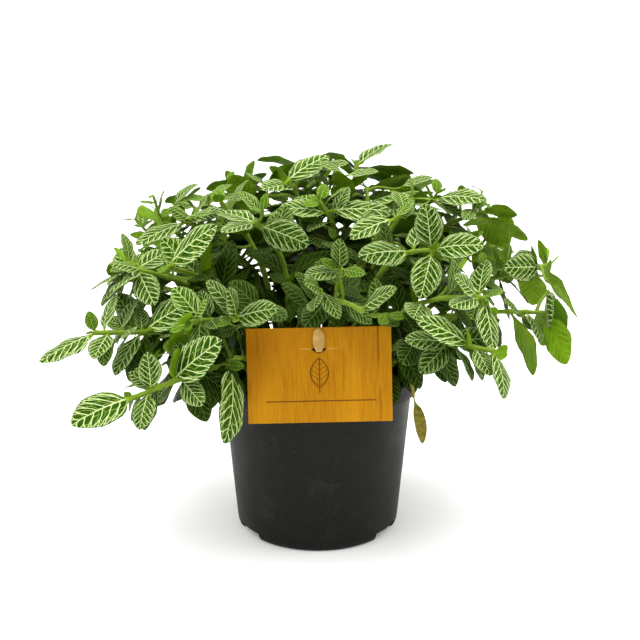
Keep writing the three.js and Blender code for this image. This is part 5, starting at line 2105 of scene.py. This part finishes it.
def stem_mesh(name, line, sprigs, leaves, s, looks, withered=None):
    """The input of the leafy stem's tree: the stem's line, then a point for each leaf."""
    ts = np.linspace(0, 1, STEM_POINTS)
    main = np.array([line.at(t) for t in ts])
    bases = np.array([leaf.base for leaf in leaves])
    nearest = np.sqrt(((main[:, None] - bases[None]) ** 2).sum(axis=2)).min(axis=1)
    thick = s.root_radius + (s.tip_radius - s.root_radius) * ts**STEM_TAPER
    thick = list(thick + s.knee * np.exp(-(nearest / KNEE_REACH) ** 2))
    points, stalk = list(main), [(t, 0.0, 0.0) for t in ts]
    edges = [(k, k + 1) for k in range(STEM_POINTS - 1)]

    def add_line(path, widths, dryness):
        start = len(points)
        points.extend(path)
        edges.extend((start + k, start + k + 1) for k in range(len(path) - 1))
        thick.extend(width * MM for width in widths)
        stalk.extend((1.0, dry, 0.0) for dry in dryness)

    for sprig in sprigs:
        path = sprig.points[::4]
        widths = [SPRIG_RADIUS * (1.15 - 0.04 * k) for k in range(len(path))]
        add_line(path, widths, [0.0] * len(path))
    if withered is not None:
        path = withered_stalk(line)
        dryness = [min(1.0, 0.3 + k / 20) for k in range(len(path))]
        add_line(path, [WITHERED_STALK] * len(path), dryness)
        leaves = [*leaves, withered]
    lines = len(points)
    nought = (0.0, 0.0, 0.0)
    vectors = {"along": [], "face": [], "base": [], "measure": [], "habit": [], "leaf": []}
    for leaf in leaves:
        points.append(leaf.base)
        seed = looks.next()
        vectors["along"].append(tuple(leaf.along))
        vectors["face"].append(tuple(leaf.face))
        vectors["base"].append(tuple(leaf.base * MM))
        vectors["measure"].append((leaf.length * MM, leaf.half * MM, leaf.bend))
        vectors["habit"].append((leaf.cup, seed, leaf.dry))
        vectors["leaf"].append((seed, leaf.age, leaf.shade))
    mesh = new_mesh(name, [tuple(p * MM) for p in points], (), edges)
    fill(mesh, "is_leaf", "FLOAT", [0.0] * lines + [1.0] * len(leaves))
    fill(mesh, "thick", "FLOAT", thick + [0.0] * len(leaves))
    fill(mesh, "stalk", "FLOAT_VECTOR", stalk + [nought] * len(leaves))
    for key, values in vectors.items():
        fill(mesh, key, "FLOAT_VECTOR", [nought] * lines + values)
    return mesh


def fill(mesh, name, kind, values):
    made = mesh.attributes.new(name, kind, "POINT")
    key = "value" if kind == "FLOAT" else "vector"
    made.data.foreach_set(key, np.array(values, np.float32).ravel())


class PLANT_OT_stems(bpy.types.Operator):
    """Grow the leafy stems and their hairs"""

    bl_idname = "nerve_plant.stems"
    bl_label = "Leafy stems"

    def execute(self, context):
        s = context.scene.nerve_plant.leaf
        plant = Plant()
        looks = Draws(LOOKS_SEED)
        tree = blade_tree()
        values = {
            "Cells across": LEAF_COLUMNS, "Cells along": LEAF_ROWS, "Blade": s.blade,
            "Petiole": s.petiole, "Ripple": s.ripple, "Stem sides": STEM_SIDES,
            "Upper": paint_upper(s), "Under": paint_under(s), "Dry": paint_dry_leaf(s),
            "Skin": paint_stem(s),
        }
        pieces = []
        for name, line in plant.lines.items():
            withered = plant.withered if name == WITHERED_STEM else None
            sprigs, leaves = plant.sprigs[name], plant.leaves[name]
            mesh = stem_mesh(name, line, sprigs, leaves, s, looks, withered)
            pieces.append(with_tree("leafy_stem_" + name, mesh, tree, values))
        settle(pieces)
        for name, piece in zip(SHOOTS, pieces):
            keep(piece, "leafy_stem", "stem_" + name)
        self.grow_hairs(plant, s)
        return {"FINISHED"}

    def grow_hairs(self, plant, s):
        """All the hairs are one piece, scattered on tubes as thick as the stems."""
        points, faces = [], []
        for line in plant.lines.values():
            spots, cells = tube_mesh(line, s)
            faces += [[corner + len(points) for corner in cell] for cell in cells]
            points += spots
        tubes = new_mesh("stem_hairs", points, faces)
        hairs = with_tree("stem_hairs", tubes, hair_tree(), {
            "Density": s.hairs, "Length": s.hair_length, "Radius": s.hair_radius, "Seed": HAIR_SEED,
            "Paint": paint_hair(s),
        })
        settle([hairs])
        keep(hairs, "leafy_stem")


def tube_mesh(line, s, sides=6, count=30):
    """A tube just inside a stem's skin, from the soil to the tip, as points and faces."""
    points, faces = [], []
    for k in range(count):
        t = 0.08 + 0.92 * k / (count - 1)
        radius = s.root_radius + (s.tip_radius - s.root_radius) * t**STEM_TAPER
        slope = line.slope(t)
        side = unit(np.cross(slope, vec(0.3, 0.9, 0.1)))
        other = np.cross(slope, side)
        for n in range(sides):
            a = math.tau * n / sides
            spot = line.at(t) * MM + (side * math.cos(a) + other * math.sin(a)) * radius
            points.append(tuple(spot))
    for k, n in itertools.product(range(count - 1), range(sides)):
        low, high = k * sides + n, k * sides + (n + 1) % sides
        faces.append([low, high, high + sides, low + sides])
    return points, faces


# The stage, in metres: the floor's half side, and each soft light's place, side and watts. The
# sky's colours are its lowest, its highest, and the grey in front of the plant.
FLOOR_REACH = 30
SOFT_BOXES = (
    ("left_box", (-1.5, -0.5, 1.3), 1.3, 20),
    ("right_box", (1.6, -0.2, 1.1), 1.2, 16),
    ("top_box", (0.1, 0.3, 1.9), 1.5, 28),
)
BOX_COLOUR = (1.0, 0.97, 0.9)
BOX_AIM = (0, 0, 0.12)
SKY_LOW = (0.34, 0.34, 0.322)
SKY_HIGH = (1.62, 1.61, 1.54)
SKY_FRONT = (0.12, 0.12, 0.12)


class PLANT_OT_stage(bpy.types.Operator):
    """Set the pale floor, the soft lights and the camera"""

    bl_idname = "nerve_plant.stage"
    bl_label = "Stage"

    def execute(self, context):
        s = context.scene.nerve_plant.studio
        r = FLOOR_REACH
        corners = [(-r, -r, 0), (r, -r, 0), (r, r, 0), (-r, r, 0)]
        mesh = new_mesh("studio_floor", corners, [(0, 1, 2, 3)])
        mesh.materials.append(paint_floor(s))
        new_object("studio_floor", mesh)
        self.light_world(context.scene)
        for name, place, size, power in SOFT_BOXES:
            self.add_box(name, Vector(place), size, power)
        self.add_camera(context.scene, s)
        context.scene.view_settings.view_transform = "Standard"
        return {"FINISHED"}

    def light_world(self, scene):
        """A pale sky that is darker low down and in front of the plant."""
        world = bpy.data.worlds.new("studio")
        world.use_nodes = True
        scene.world = world
        tree = world.node_tree
        _, y, z = split(node(tree, "ShaderNodeTexCoord", output="Generated"))
        front = (y * -1.0).ease(0.2, 0.9) * z.size().fade(0.15, 0.8)
        sky = mixed(tree, z.ease(-0.1, 0.95), SKY_LOW, SKY_HIGH)
        background = tree.nodes["Background"]
        plug(tree, background.inputs["Color"], mixed(tree, front * 0.7, sky, SKY_FRONT))
        background.inputs["Strength"].default_value = 1.0

    def add_box(self, name, place, size, power):
        data = bpy.data.lights.new(name, "AREA")
        data.shape = "SQUARE"
        data.size = size
        data.energy = power
        data.color = BOX_COLOUR
        light = new_object(name, data)
        light.location = place
        light.rotation_euler = (Vector(BOX_AIM) - place).to_track_quat("-Z", "Y").to_euler()

    def add_camera(self, scene, s):
        data = bpy.data.cameras.new("camera")
        data.sensor_width = SENSOR
        data.lens = s.lens
        data.clip_start, data.clip_end = 0.01, 100
        camera = new_object("camera", data)
        target = Vector((s.target_right, 0, s.target_height))
        away = Vector((0, -math.cos(s.tilt), math.sin(s.tilt)))
        camera.location = target + away * s.distance
        camera.rotation_euler = (-away).to_track_quat("-Z", "Y").to_euler()
        scene.camera = camera


class PLANT_PT_panel(bpy.types.Panel):
    """Lists the plant's pieces and their settings"""

    bl_idname = "PLANT_PT_panel"
    bl_label = "Nerve plant"
    bl_space_type = "VIEW_3D"
    bl_region_type = "UI"
    bl_category = "Nerve plant"

    def draw(self, context):
        s = context.scene.nerve_plant
        groups = (s.pot, s.soil, s.card, None, s.leaf, s.studio)
        for operator, group in zip(OPERATORS, groups):
            box = self.layout.box()
            box.operator(operator.bl_idname)
            if group:
                for name in group.__annotations__:
                    box.prop(group, name)


OPERATORS = (
    PLANT_OT_pot, PLANT_OT_soil, PLANT_OT_card, PLANT_OT_peg, PLANT_OT_stems, PLANT_OT_stage,
)
CLASSES = (
    PotSettings, SoilSettings, CardSettings, LeafSettings, StudioSettings, PlantSettings,
    *OPERATORS, PLANT_PT_panel,
)


def register():
    for each in CLASSES:
        bpy.utils.register_class(each)
    bpy.types.Scene.nerve_plant = PointerProperty(type=PlantSettings)


def unregister():
    del bpy.types.Scene.nerve_plant
    for each in reversed(CLASSES):
        bpy.utils.unregister_class(each)


def main():
    register()
    bpy.ops.nerve_plant.pot()
    bpy.ops.nerve_plant.soil()
    bpy.ops.nerve_plant.card()
    bpy.ops.nerve_plant.peg()
    bpy.ops.nerve_plant.stems()
    bpy.ops.nerve_plant.stage()
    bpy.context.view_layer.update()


if __name__ == "__main__":
    main()
